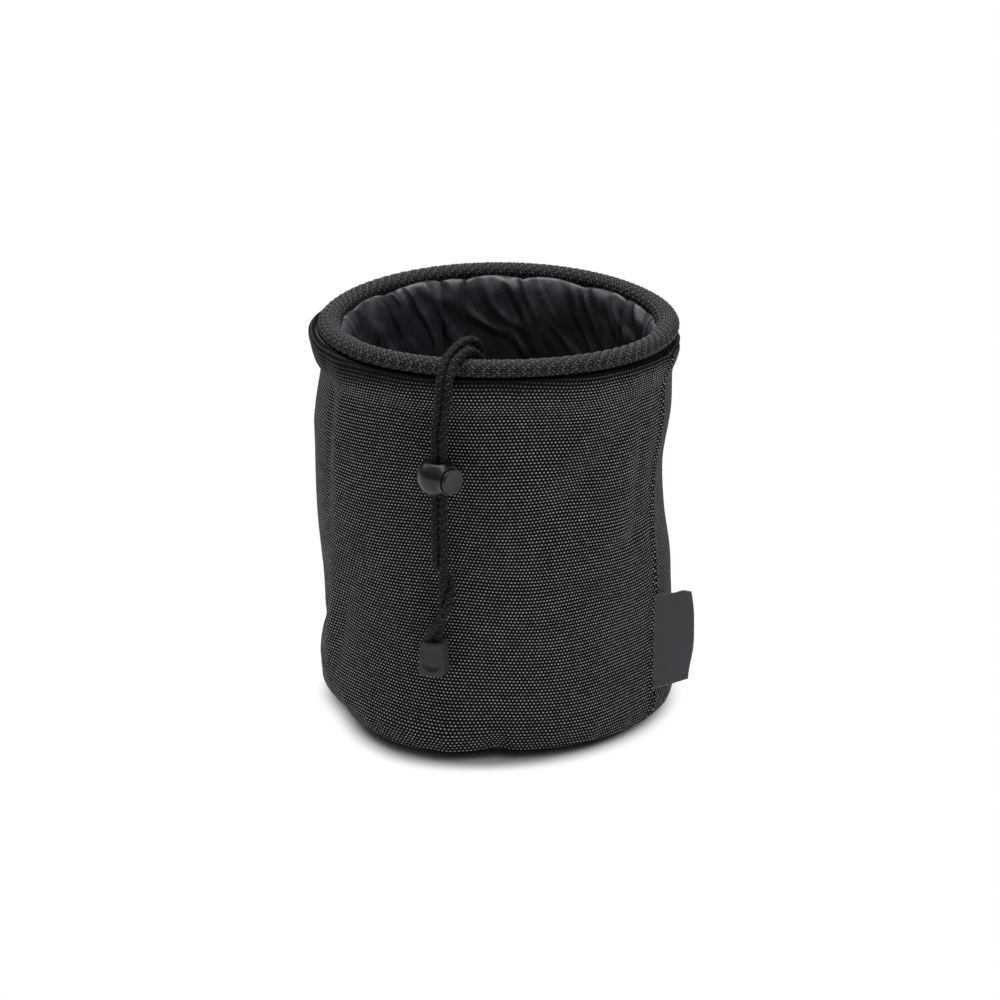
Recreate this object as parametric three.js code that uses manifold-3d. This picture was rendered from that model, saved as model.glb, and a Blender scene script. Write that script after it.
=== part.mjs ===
// Free-standing drawstring peg bag, modelled in millimetres with +Z up.
// The origin is the middle of the base on the floor. The drawcord hangs at the front, on -Y,
// and the side seam with its tab is on +X. Angles round the bag run from -Y towards +X.
// Heights below are above the edge of the base seam; the whole bag then stands on its sagging base.

import * as THREE from 'three';
import Module from 'manifold-3d';
import { mergeVertices } from 'three/addons/utils/BufferGeometryUtils.js';

const wasm = await Module();
wasm.setup();

const DEG = Math.PI / 180;

// Overall sizes and the gap kept between neighbouring pieces
const HEIGHT = 185;
const FIT = 0.3;

// Rim: a flattened woven tube round a hoop, open below where the wall and the collar enter it
const RIM_RADIUS = 77.1;
const BINDING_WIDTH = 10.3;
const BINDING_HEIGHT = 7.3;
const BINDING_WALL = 1.5;
const HOOP_DIAMETER = 2.4;

// The rim is not quite level: it rises away from this angle and sags at both sides of it
const RIM_LINE = 17 * DEG;
const RIM_TILT = 1.3;
const RIM_SAG = 1.1;

// Wall cloth: radii of its middle surface at the soft roll, the pinch, the belly, the waist and the hip
const WALL_CLOTH = 1.2;
const ROLL_RADIUS = 83.2;
const PINCH_RADIUS = 80.6;
const BELLY_RADIUS = 81.6;
const WAIST_RADIUS = 80.8;
const HIP_RADIUS = 82.2;
const ROLL_DROP = 14.5;
const PINCH_DROP = 27;
const WAIST_HEIGHT = 46;
const HIP_HEIGHT = 17;
const HEM_HEIGHT = 8;
const HEM_FOLD = 1.2;
const HEM_TUCK = 7.5;
const ROLL_LIFT = 0.9;
const BELLY_LENGTH = 24;

// The filled bag leans a little to the side away from the seam, where its roll also swells up and out
const LEAN = 2.6;
const LEAN_TOWARDS = -73 * DEG;
const SWELL_ACROSS = 38 * DEG;
const SWELL_OUT = 2.2;
const SWELL_UP = 5.2;
const SWELL_CREST = 6.6;

// The base edge bulges to one side of the cord and turns under more softly beside that
const BULGE_ANGLE = -10 * DEG;
const BULGE_ACROSS = 18 * DEG;
const BULGE_OUT = 4.4;
const TUCK_ANGLE = -50 * DEG;
const TUCK_ACROSS = 14 * DEG;
const TUCK_IN = 3.2;
const TUCK_UP = 1.6;

// Soft dents: angle in degrees, height, half-widths in degrees and millimetres, depth
const DENTS = [
  { angle: 100, height: 104, across: 24, tall: 17, depth: 4.6 },
  { angle: 46, height: 122, across: 11, tall: 16, depth: 2.0 },
  { angle: 42, height: 72, across: 12, tall: 12, depth: 1.4 },
  { angle: -57, height: 150, across: 9, tall: 26, depth: 1.2 },
  { angle: -1, height: 126, across: 17, tall: 34, depth: 3.0 },
  { angle: 180, height: 112, across: 20, tall: 26, depth: 2.2 },
  { angle: -130, height: 84, across: 16, tall: 20, depth: 1.6 },
];

// Base: a woven disc that sags flat on the floor inside its turned-up edge, a stiff board on it
// and tape over the seam
const BASE_CLOTH = 1.2;
const BASE_SAG = 3;
const BASE_FLAT = 60;
const BOARD_THICKNESS = 2;
const TAPE = 0.8;
const BASE_TAPE_DROP = 4.6;

// Side seam: where it runs at the rim and at the tab's top, how far it slants along the tab, and the
// tape that covers it inside
const SEAM_ANGLE = 85.5 * DEG;
const SEAM_FOOT_ANGLE = 79.5 * DEG;
const SEAM_SLANT = 4 * DEG;
const SEAM_TAPE_WIDTH = 9;

// Drawstring collar: hangs inside the mouth from the rim, with a hem tunnel for the cord
const COLLAR_CLOTH = 0.8;
const COLLAR_DROP = 40;
const COLLAR_LEAN = 4.6;
const PLEATS = 12;
const PLEAT_DEPTH = 1.7;
const CASING_TURN = 1.6 * Math.PI;

// Drawcord and its two hanging strands
const CORD_DIAMETER = 3.6;
const CORD_SIDES = 8;
const STRAND_Y = -90.4;
const HANG_X = 3;
const LOCK_X = 0.6;
const STRAND_CUT_Z = 170;
const EXIT_ANGLE = 10.5 * DEG;
const EXIT_HALF_GAP = 8.5 * DEG;

// Ball lock: its bore points 61 degrees round from the front, and the cord passes ahead of its middle
const LOCK_Z = 131.6;
const LOCK_TURN = -29 * DEG;
const LOCK_RADIUS = 7.9;
const LOCK_CORD_OFFSET = 2.4;
const LOCK_NOSE = 10;
const LOCK_NOSE_RADIUS = 6.3;
const LOCK_NOSE_EDGE = 0.6;
const LOCK_EASE = 36 * DEG;
const LOCK_WALL = 1;
const LOCK_MOUTH_RADIUS = 26;
const LOCK_MOUTH_DEPTH = 1;
const BUTTON_RADIUS = 5.1;
const BUTTON_PROUD = 2.6;
const BUTTON_TRAVEL = 2;
const BUTTON_EDGE = 0.6;
const BUTTON_HEEL = 0.6;
const SPRING_WIRE = 0.4;
const SPRING_RADIUS = 2.9;
const SPRING_TURNS = 2;

// Cord end: a tapered shell with a thumb recess, closed at the back by a cover that clamps the strands
const END_TOP_Z = 54.8;
const END_X = -3.2;
const END_Y = -88;
const END_HEIGHT = 15.7;
const END_TOP_WIDTH = 10.8;
const END_BOTTOM_WIDTH = 12.2;
const END_DEPTH = 8;
const END_WALL = 1.2;
const END_FACE = 2;
const END_CORNER = 2;
const END_RECESS_DEPTH = 1.1;
const END_RECESS_BORDER = 1.3;
const COVER_THICKNESS = 1.2;
const CLAMP_RIBS = 3;
const CLAMP_RIB_WIDTH = 0.8;
const CLAMP_RIB_PITCH = 3;

// Folded tab in the side seam
const TAB_HEIGHT = 44;
const TAB_BOTTOM = 15.2;
const TAB_WIDTH = 17.2;
const TAB_CLOTH = 0.5;
const TAB_HEADING = 126 * DEG;

// Facets round the bag, the same for all round pieces so that they line up
const ROUND = 48;
const CASING_STEPS = 5;

// Sizes that follow
const CORD_RADIUS = CORD_DIAMETER / 2;
const STRAND_X = CORD_RADIUS + FIT / 2;
const RIM_Z = HEIGHT - RIM_TILT - RIM_SAG - BINDING_HEIGHT / 2;
const BINDING_FOOT = RIM_Z - BINDING_HEIGHT / 2;
const CAVITY_HALF_WIDTH = BINDING_WIDTH / 2 - BINDING_WALL;
const CAVITY_HALF_HEIGHT = BINDING_HEIGHT / 2 - BINDING_WALL;
const HOOP_Z = RIM_Z + CAVITY_HALF_HEIGHT - FIT - HOOP_DIAMETER / 2;
const EDGE_Z = HOOP_Z - HOOP_DIAMETER / 2 - FIT;
const SLOT_HALF = (COLLAR_CLOTH + WALL_CLOTH + 3 * FIT) / 2;
const WALL_EDGE_RADIUS = RIM_RADIUS + SLOT_HALF - FIT - WALL_CLOTH / 2;
const COLLAR_EDGE_RADIUS = RIM_RADIUS - SLOT_HALF + FIT + COLLAR_CLOTH / 2;
const HEM_RADIUS = HIP_RADIUS - HEM_TUCK;
const FLANGE_RADIUS = HEM_RADIUS - WALL_CLOTH / 2 - FIT;
const CASING_RADIUS = (CORD_RADIUS + FIT) / Math.cos(CASING_TURN / CASING_STEPS / 2) + COLLAR_CLOTH / 2;

const wallMaterial = new THREE.MeshStandardMaterial({ color: 0x1b1b1d, roughness: 0.85, metalness: 0 });
const tapeMaterial = new THREE.MeshStandardMaterial({ color: 0x17181a, roughness: 0.8, metalness: 0 });
const collarMaterial = new THREE.MeshStandardMaterial({ color: 0x1f2024, roughness: 0.5, metalness: 0 });
const cordMaterial = new THREE.MeshStandardMaterial({ color: 0x121213, roughness: 0.8, metalness: 0 });
const lockMaterial = new THREE.MeshStandardMaterial({ color: 0x2e2f31, roughness: 0.5, metalness: 0 });
const tabMaterial = new THREE.MeshStandardMaterial({ color: 0x4b4e52, roughness: 0.8, metalness: 0 });
const boardMaterial = new THREE.MeshStandardMaterial({ color: 0x2a2a2c, roughness: 0.6, metalness: 0 });
const steelMaterial = new THREE.MeshStandardMaterial({ color: 0xb8bcc0, roughness: 0.3, metalness: 1 });

// A point at a radius, an angle round the bag and a height
function around(radius, angle, z) {
  return new THREE.Vector3(radius * Math.sin(angle), -radius * Math.cos(angle), z);
}

// A closed geometry from rows of points, each row a closed outline; the rows may close into a ring
function loft(rows, ring) {
  const count = rows[0].length;
  const positions = rows.flat().flatMap((p) => [p.x, p.y, p.z]);
  const indices = [];
  const spans = ring ? rows.length : rows.length - 1;
  for (let k = 0; k < spans; k += 1) {
    const here = k * count;
    const next = ((k + 1) % rows.length) * count;
    for (let i = 0; i < count; i += 1) {
      const j = (i + 1) % count;
      indices.push(here + i, next + i, here + j);
      indices.push(here + j, next + i, next + j);
    }
  }
  if (!ring) {
    const flat = rows[0].map((p) => p.clone());
    const normal = outlineNormal(flat);
    const axes = planeAxes(normal);
    const contour = flat.map((p) => new THREE.Vector2(p.dot(axes[0]), p.dot(axes[1])));
    const last = (rows.length - 1) * count;
    for (const [a, b, c] of THREE.ShapeUtils.triangulateShape(contour, [])) {
      indices.push(a, b, c);
      indices.push(last + a, last + c, last + b);
    }
  }
  const geometry = new THREE.BufferGeometry();
  geometry.setAttribute('position', new THREE.Float32BufferAttribute(positions, 3));
  geometry.setIndex(indices);
  geometry.computeVertexNormals();
  return geometry;
}

// Newell normal of a closed outline
function outlineNormal(points) {
  const normal = new THREE.Vector3();
  points.forEach((p, i) => {
    const q = points[(i + 1) % points.length];
    normal.add(new THREE.Vector3().crossVectors(p, q));
  });
  return normal.normalize();
}

// Two axes that span the plane of a normal, so that outlines keep their turning direction
function planeAxes(normal) {
  const helper = Math.abs(normal.z) < 0.9 ? new THREE.Vector3(0, 0, 1) : new THREE.Vector3(1, 0, 0);
  const u = new THREE.Vector3().crossVectors(helper, normal).normalize();
  const v = new THREE.Vector3().crossVectors(normal, u);
  return [u, v];
}

// The outline of a strip of cloth: a line of (radius, height) points given a thickness
function thicken(line, thickness) {
  const normals = line.map((p, i) => {
    const before = line[Math.max(i - 1, 0)];
    const after = line[Math.min(i + 1, line.length - 1)];
    const along = after.clone().sub(before).normalize();
    return new THREE.Vector2(along.y, -along.x);
  });
  const right = line.map((p, i) => p.clone().addScaledVector(normals[i], thickness / 2));
  const left = line.map((p, i) => p.clone().addScaledVector(normals[i], -thickness / 2));
  return right.concat(left.reverse());
}

// Points of an arc in the plane, from one angle to another
function arc(x, y, radius, from, to, steps) {
  return Array.from({ length: steps + 1 }, (_, i) => {
    const angle = from + ((to - from) * i) / steps;
    return new THREE.Vector2(x + radius * Math.cos(angle), y + radius * Math.sin(angle));
  });
}

// A solid of revolution about Z from a closed (radius, height) profile that turns anticlockwise
function revolve(profile, segments) {
  const closed = profile[0].x < 1e-6 ? profile : profile.concat([profile[0].clone()]);
  return new THREE.LatheGeometry(closed, segments).rotateX(Math.PI / 2);
}

// A round tube along a smooth curve through points
function tube(points, radius, sides, steps) {
  const section = new THREE.Shape(arc(0, 0, radius, 0, 2 * Math.PI, sides).slice(0, sides));
  const path = new THREE.CatmullRomCurve3(points);
  return new THREE.ExtrudeGeometry(section, { steps, extrudePath: path, curveSegments: 1 });
}

// A closed geometry as a manifold solid, and back
function solid(geometry) {
  const bare = geometry.clone();
  bare.deleteAttribute('normal');
  bare.deleteAttribute('uv');
  const merged = mergeVertices(bare, 1e-4);
  const vertProperties = Float32Array.from(merged.attributes.position.array);
  const triVerts = Uint32Array.from(merged.index.array);
  return new wasm.Manifold(new wasm.Mesh({ numProp: 3, vertProperties, triVerts }));
}

function geometryOf(manifold) {
  const mesh = manifold.getMesh();
  const geometry = new THREE.BufferGeometry();
  geometry.setAttribute('position', new THREE.Float32BufferAttribute(mesh.vertProperties, 3));
  geometry.setIndex(Array.from(mesh.triVerts));
  geometry.computeVertexNormals();
  return geometry;
}

// The first geometry with the others cut out of it
function cut(body, ...tools) {
  const result = tools.reduce((rest, tool) => rest.subtract(solid(tool)), solid(body));
  return geometryOf(result);
}

function piece(name, geometry, material) {
  const mesh = new THREE.Mesh(geometry, material);
  mesh.name = name;
  return mesh;
}

// How far the filled wall stands in or out at an angle and a height: its lean and its dents
function wallShift(angle, z) {
  const middle = HEIGHT * 0.62;
  const span = HEIGHT * 0.3;
  const lean = LEAN * Math.cos(angle - LEAN_TOWARDS) * Math.exp(-(((z - middle) / span) ** 2));
  return DENTS.reduce((sum, dent) => {
    const turn = Math.atan2(Math.sin(angle - dent.angle * DEG), Math.cos(angle - dent.angle * DEG));
    const across = turn / (dent.across * DEG);
    const tall = (z - dent.height) / dent.tall;
    return sum - dent.depth * Math.exp(-(across ** 2 + tall ** 2) / 2);
  }, lean);
}

// A bell curve of the angle round the bag
function bell(angle, middle, across) {
  const turn = Math.atan2(Math.sin(angle - middle), Math.cos(angle - middle));
  return Math.exp(-((turn / across) ** 2));
}

// How far the rim stands above or below its middle height at an angle
function rimShift(angle) {
  const turn = angle - RIM_LINE;
  return RIM_SAG * Math.cos(2 * turn) - RIM_TILT * Math.cos(turn);
}

// Lets the top of a piece follow the rim: not at all at the pinch, and fully at the binding's foot
function settle(geometry) {
  const place = geometry.attributes.position;
  for (let i = 0; i < place.count; i += 1) {
    const z = place.getZ(i);
    const share = THREE.MathUtils.smoothstep(z, HEIGHT - PINCH_DROP, BINDING_FOOT);
    place.setZ(i, z + share * rimShift(Math.atan2(place.getX(i), -place.getY(i))));
  }
  geometry.computeVertexNormals();
  return geometry;
}

// The wall's middle line at an angle, from its edge in the rim to its hem inside the base seam.
// Each point has a radius, a height and how freely it follows the lean and the dents.
function wallLine(angle) {
  const swell = bell(angle, LEAN_TOWARDS, SWELL_ACROSS);
  const bulge = BULGE_OUT * bell(angle, BULGE_ANGLE, BULGE_ACROSS);
  const tuck = bell(angle, TUCK_ANGLE, TUCK_ACROSS);
  const hip = HIP_RADIUS + bulge;
  const rollRadius = ROLL_RADIUS + swell * SWELL_OUT;
  const rollZ = HEIGHT - ROLL_DROP;
  const crestZ = rollZ + ROLL_LIFT + swell * SWELL_CREST;
  const pinchZ = HEIGHT - PINCH_DROP;
  const bellyZ = (pinchZ + WAIST_HEIGHT) / 2;
  const foot = HEM_FOLD + WALL_CLOTH / 2 - HEM_FOLD * 0.3;
  const points = [
    [WALL_EDGE_RADIUS, EDGE_Z, 0],
    [WALL_EDGE_RADIUS, BINDING_FOOT - FIT, 0],
    [(WALL_EDGE_RADIUS * 3 + ROLL_RADIUS) / 4, rollZ + ROLL_LIFT * 0.7, 0.2],
    [(WALL_EDGE_RADIUS + rollRadius * 2) / 3 + swell * SWELL_OUT * 0.4, crestZ, 0.7],
    [rollRadius, rollZ + swell * SWELL_UP, 1],
    [(ROLL_RADIUS + PINCH_RADIUS + swell * SWELL_OUT) / 2 + 0.4, (rollZ + pinchZ) / 2, 1],
    [PINCH_RADIUS, pinchZ, 1],
    [(PINCH_RADIUS + BELLY_RADIUS) / 2 + 0.2, (pinchZ * 2 + bellyZ) / 3, 1],
    [BELLY_RADIUS, bellyZ + BELLY_LENGTH / 2, 1],
    [BELLY_RADIUS, bellyZ - BELLY_LENGTH / 2, 1],
    [(BELLY_RADIUS + WAIST_RADIUS) / 2, (bellyZ - BELLY_LENGTH / 2 + WAIST_HEIGHT) / 2, 1],
    [WAIST_RADIUS, WAIST_HEIGHT, 1],
    [(HIP_RADIUS + hip) / 2, HIP_HEIGHT, 0.5],
    [hip - TUCK_IN * tuck * 0.2, (HIP_HEIGHT + foot) / 2, 0.2],
    [hip - 0.3 - TUCK_IN * tuck * 0.65, foot + 1.8 + TUCK_UP * tuck, 0],
    [hip - 1.5 - TUCK_IN * tuck, foot - 0.5 + TUCK_UP * tuck * 0.55, 0],
    [HEM_RADIUS + HEM_FOLD * 1.3, foot - 0.55, 0],
    [HEM_RADIUS + HEM_FOLD * 0.35, foot + 0.1, 0],
    [HEM_RADIUS, foot + 1.4, 0],
    [HEM_RADIUS, HEM_HEIGHT, 0],
  ];
  return points.map(([radius, z, free]) => new THREE.Vector2(radius + free * wallShift(angle, z), z));
}

// Places of the pinch and the hip among the wall's points
const PINCH_POINT = 6;
const HIP_POINT = 12;

// The radius of the wall's middle surface at an angle and a height between the roll and the hip
function wallRadius(angle, z) {
  const line = wallLine(angle);
  const upper = line.findLastIndex((p, i) => i >= PINCH_POINT && i <= HIP_POINT && p.y >= z);
  const above = line[upper];
  const below = line[upper + 1];
  return above.x + ((below.x - above.x) * (above.y - z)) / (above.y - below.y);
}

function sidePanel() {
  const rows = Array.from({ length: ROUND }, (_, k) => {
    const angle = (2 * Math.PI * k) / ROUND;
    return thicken(wallLine(angle), WALL_CLOTH).map((p) => around(p.x, angle, p.y));
  });
  return loft(rows, true);
}

// Where the side seam runs at a height: it slants along the tab and from there up to the rim
function seamAngle(z) {
  const top = TAB_BOTTOM + TAB_HEIGHT;
  const upper = THREE.MathUtils.smoothstep(z, top, HEIGHT - ROLL_DROP);
  const lower = THREE.MathUtils.clamp((top - z) / TAB_HEIGHT, 0, 1);
  return SEAM_FOOT_ANGLE + (SEAM_ANGLE - SEAM_FOOT_ANGLE) * upper - SEAM_SLANT * lower;
}

// Tape down the inside of the side seam, following the wall's points from the hip up to the pinch
function sideSeamBinding() {
  const half = SEAM_TAPE_WIDTH / 2 / BELLY_RADIUS;
  const gap = WALL_CLOTH / 2 + FIT * 1.5;
  const heights = wallLine(SEAM_ANGLE).slice(PINCH_POINT, HIP_POINT + 1).map((p) => p.y);
  const rows = heights.reverse().map((z) => {
    const columns = [-half, 0, half].map((turn) => seamAngle(z) + turn);
    const outer = columns.map((angle) => around(wallRadius(angle, z) - gap, angle, z));
    const inner = columns.map((angle) => around(wallRadius(angle, z) - gap - TAPE, angle, z));
    return inner.concat(outer.reverse());
  });
  return loft(rows, false);
}

function basePanel() {
  const inner = FLANGE_RADIUS - BASE_CLOTH;
  const low = -BASE_SAG;
  const bend = FLANGE_RADIUS * 0.94;
  const profile = [
    new THREE.Vector2(0, low),
    new THREE.Vector2(BASE_FLAT, low),
    new THREE.Vector2(bend, low * 0.58),
    new THREE.Vector2(FLANGE_RADIUS - BASE_CLOTH * 0.6, -BASE_CLOTH * 0.15),
    new THREE.Vector2(FLANGE_RADIUS, BASE_CLOTH * 1.2),
    new THREE.Vector2(FLANGE_RADIUS, HEM_HEIGHT),
    new THREE.Vector2(inner, HEM_HEIGHT),
    new THREE.Vector2(inner, BASE_CLOTH * 1.5),
    new THREE.Vector2(inner - BASE_CLOTH * 0.4, BASE_CLOTH * 0.7),
    new THREE.Vector2(bend - BASE_CLOTH * 0.3, low * 0.58 + BASE_CLOTH),
    new THREE.Vector2(BASE_FLAT, low + BASE_CLOTH),
    new THREE.Vector2(0, low + BASE_CLOTH),
  ];
  return revolve(profile, ROUND);
}

// Tape folded over the upright edges of the base and the wall
function baseSeamBinding() {
  const inside = FLANGE_RADIUS - BASE_CLOTH - FIT;
  const outside = HEM_RADIUS + WALL_CLOTH / 2 + FIT;
  const low = HEM_HEIGHT - BASE_TAPE_DROP;
  const roof = HEM_HEIGHT + FIT;
  const profile = [
    new THREE.Vector2(outside, low),
    new THREE.Vector2(outside + TAPE, low),
    new THREE.Vector2(outside + TAPE, roof),
    new THREE.Vector2(outside, roof + TAPE),
    new THREE.Vector2(inside, roof + TAPE),
    new THREE.Vector2(inside - TAPE, roof),
    new THREE.Vector2(inside - TAPE, low),
    new THREE.Vector2(inside, low),
    new THREE.Vector2(inside, roof),
    new THREE.Vector2(outside, roof),
  ];
  return revolve(profile, ROUND);
}

function baseBoard() {
  const radius = BASE_FLAT - FIT;
  const bottom = BASE_CLOTH + FIT - BASE_SAG;
  const edge = BOARD_THICKNESS / 4;
  const profile = [
    new THREE.Vector2(0, bottom),
    new THREE.Vector2(radius - edge, bottom),
    new THREE.Vector2(radius, bottom + edge),
    new THREE.Vector2(radius, bottom + BOARD_THICKNESS - edge),
    new THREE.Vector2(radius - edge, bottom + BOARD_THICKNESS),
    new THREE.Vector2(0, bottom + BOARD_THICKNESS),
  ];
  return revolve(profile, ROUND);
}

function rimHoop() {
  const section = arc(RIM_RADIUS, HOOP_Z, HOOP_DIAMETER / 2, 0, 2 * Math.PI, 6).slice(0, 6);
  return revolve(section, ROUND);
}

// Part of an oval round the middle of the rim's section, between two angles away from straight down
function rimOval(halfWidth, halfHeight, steps, back) {
  const open = Math.asin(SLOT_HALF / halfWidth);
  const from = -Math.PI / 2 + open;
  const to = 1.5 * Math.PI - open;
  const points = arc(0, 0, 1, back ? to : from, back ? from : to, steps);
  return points.map((p) => new THREE.Vector2(RIM_RADIUS + halfWidth * p.x, RIM_Z + halfHeight * p.y));
}

// The woven tube of the rim: an oval section with a slot below for the wall and the collar
function rimBinding() {
  const outer = rimOval(BINDING_WIDTH / 2, BINDING_HEIGHT / 2, 14, false);
  const inner = rimOval(CAVITY_HALF_WIDTH, CAVITY_HALF_HEIGHT, 8, true);
  return revolve(outer.concat(inner), ROUND);
}

// The collar's middle line at an angle: down from the rim in soft pleats, then round the cord
function collarLine(angle) {
  const pleat = PLEAT_DEPTH * Math.cos(PLEATS * (angle - EXIT_ANGLE));
  const steps = 5;
  const hang = Array.from({ length: steps + 1 }, (_, i) => {
    const share = i / steps;
    const lean = COLLAR_LEAN * Math.sqrt(share);
    const fold = pleat * Math.sin(Math.PI * share);
    return new THREE.Vector2(COLLAR_EDGE_RADIUS - lean + fold, BINDING_FOOT - FIT - COLLAR_DROP * share);
  });
  const end = hang[steps];
  const casing = arc(end.x - CASING_RADIUS, end.y, CASING_RADIUS, 0, -CASING_TURN, CASING_STEPS).slice(1);
  return [new THREE.Vector2(COLLAR_EDGE_RADIUS, EDGE_Z), ...hang, ...casing];
}

const CASING = {
  radius: COLLAR_EDGE_RADIUS - COLLAR_LEAN - CASING_RADIUS,
  z: BINDING_FOOT - FIT - COLLAR_DROP,
};

// The hem tunnel is left open at the front, where the two ends of the cord come out
function drawstringCollar() {
  const rows = Array.from({ length: ROUND }, (_, k) => {
    const angle = (2 * Math.PI * k) / ROUND;
    return thicken(collarLine(angle), COLLAR_CLOTH).map((p) => around(p.x, angle, p.y));
  });
  const reach = CASING_RADIUS * 4;
  const width = 2 * CASING.radius * Math.sin(EXIT_HALF_GAP);
  const notch = new THREE.BoxGeometry(width, reach, reach);
  notch.translate(0, -CASING.radius, CASING.z - reach / 2 + CASING_RADIUS * 1.6);
  notch.rotateZ(EXIT_ANGLE);
  return cut(loft(rows, true), notch);
}

// The cord inside the hem tunnel, from one end of the opening round to the other
function drawcordLoop() {
  const steps = 38;
  const from = EXIT_ANGLE + EXIT_HALF_GAP;
  const sweep = 2 * Math.PI - 2 * EXIT_HALF_GAP;
  const points = Array.from({ length: steps + 1 }, (_, i) => {
    return around(CASING.radius, from + (sweep * i) / steps, CASING.z);
  });
  return tube(points, CORD_RADIUS, CORD_SIDES, steps);
}

// The left strand: out of the hem, up inside the mouth, over the rim and down to the hinge line
function riseLeft() {
  const start = EXIT_ANGLE - EXIT_HALF_GAP + (2 * FIT) / CASING.radius;
  const points = [
    around(CASING.radius, start, CASING.z),
    around(CASING.radius - 0.7, start + 3.6 * DEG, CASING.z + 0.7),
    around(CASING.radius - 3.4, start + 6.6 * DEG, CASING.z + 4.4),
    around(63.4, 9.9 * DEG, 148),
    around(62.4, 10.2 * DEG, 160),
    around(62.2, 10.2 * DEG, 172),
    around(62.4, 10 * DEG, 179),
    around(63.6, 9.4 * DEG, 184.9),
    around(66.6, 7.5 * DEG, 188.2),
    around(71.2, 5 * DEG, 188.9),
    around(76.6, 2.7 * DEG, 187.2),
    new THREE.Vector3(HANG_X - 1.4, -82.6, 183.9),
    new THREE.Vector3(HANG_X - 1.9, -87.4, 179.4),
    new THREE.Vector3(HANG_X - STRAND_X, STRAND_Y + 0.4, 174.6),
    new THREE.Vector3(HANG_X - STRAND_X, STRAND_Y, STRAND_CUT_Z + FIT / 2),
  ];
  return tube(points, CORD_RADIUS, CORD_SIDES, 26);
}

// The right strand, which passes in front of the left one and lower over the rim
function riseRight() {
  const start = EXIT_ANGLE + EXIT_HALF_GAP - (2 * FIT) / CASING.radius;
  const points = [
    around(CASING.radius, start, CASING.z),
    around(CASING.radius - 0.2, start - 3.6 * DEG, CASING.z + 0.7),
    around(CASING.radius - 1, start - 6.4 * DEG, CASING.z + 4.4),
    around(66.8, 11.4 * DEG, 148),
    around(66.4, 11 * DEG, 160),
    around(66.4, 11 * DEG, 170),
    around(66.8, 10.8 * DEG, 176),
    around(68.4, 10 * DEG, 181.4),
    around(71.8, 8 * DEG, 184.6),
    around(76.6, 5.9 * DEG, 185.3),
    new THREE.Vector3(HANG_X + 3.2, -81.8, 183.7),
    new THREE.Vector3(HANG_X + 2.2, -86.6, 179.8),
    new THREE.Vector3(HANG_X + STRAND_X, STRAND_Y + 0.4, 175),
    new THREE.Vector3(HANG_X + STRAND_X, STRAND_Y, STRAND_CUT_Z + FIT / 2),
  ];
  return tube(points, CORD_RADIUS, CORD_SIDES, 25);
}

// The hanging strands run straight through the lock, then down into the cord end
const STRAND_FOOT = END_TOP_Z - END_HEIGHT + END_WALL + 3;

// The left one crosses behind the right one below the lock, bows out and comes back in front of it
function tailLeft() {
  const points = [
    new THREE.Vector3(HANG_X - STRAND_X, STRAND_Y, STRAND_CUT_Z - FIT / 2),
    new THREE.Vector3((HANG_X + LOCK_X) / 2 - STRAND_X, STRAND_Y, 158),
    new THREE.Vector3(LOCK_X - STRAND_X, STRAND_Y, 145),
    new THREE.Vector3(LOCK_X - STRAND_X, STRAND_Y, 120),
    new THREE.Vector3(LOCK_X - STRAND_X, STRAND_Y, 97),
    new THREE.Vector3(LOCK_X - 1.9, STRAND_Y + 0.6, 92.8),
    new THREE.Vector3(LOCK_X - 0.7, STRAND_Y + 3.6, 88.9),
    new THREE.Vector3(LOCK_X + 2, STRAND_Y + 4.5, 85.5),
    new THREE.Vector3(LOCK_X + 4.6, STRAND_Y + 3, 82.2),
    new THREE.Vector3(LOCK_X + 5.7, STRAND_Y + 0.2, 78.6),
    new THREE.Vector3(LOCK_X + 5.3, STRAND_Y - 2.4, 74.8),
    new THREE.Vector3(LOCK_X + 3.7, STRAND_Y - 4, 70.8),
    new THREE.Vector3(LOCK_X + 1, STRAND_Y - 4.3, 66.8),
    new THREE.Vector3(LOCK_X - 2, STRAND_Y - 3.2, 62.8),
    new THREE.Vector3(LOCK_X - 5.1, STRAND_Y - 0.2, 58.6),
    new THREE.Vector3(END_X - STRAND_X, END_Y, END_TOP_Z - 0.5),
    new THREE.Vector3(END_X - STRAND_X, END_Y, STRAND_FOOT),
  ];
  return tube(points, CORD_RADIUS, CORD_SIDES, 40);
}

function tailRight() {
  const points = [
    new THREE.Vector3(HANG_X + STRAND_X, STRAND_Y, STRAND_CUT_Z - FIT / 2),
    new THREE.Vector3((HANG_X + LOCK_X) / 2 + STRAND_X, STRAND_Y, 158),
    new THREE.Vector3(LOCK_X + STRAND_X, STRAND_Y, 145),
    new THREE.Vector3(LOCK_X + STRAND_X, STRAND_Y, 120),
    new THREE.Vector3(LOCK_X + STRAND_X, STRAND_Y, 97),
    new THREE.Vector3(LOCK_X + 1.7, STRAND_Y - 0.1, 88),
    new THREE.Vector3(LOCK_X + 1.4, STRAND_Y, 79),
    new THREE.Vector3(LOCK_X + 1.2, STRAND_Y + 0.7, 71.5),
    new THREE.Vector3(LOCK_X + 0.4, STRAND_Y + 1.6, 65.5),
    new THREE.Vector3(LOCK_X - 0.9, END_Y, 60),
    new THREE.Vector3(END_X + STRAND_X, END_Y, END_TOP_Z - 1),
    new THREE.Vector3(END_X + STRAND_X, END_Y, STRAND_FOOT),
  ];
  return tube(points, CORD_RADIUS, CORD_SIDES, 26);
}

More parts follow.
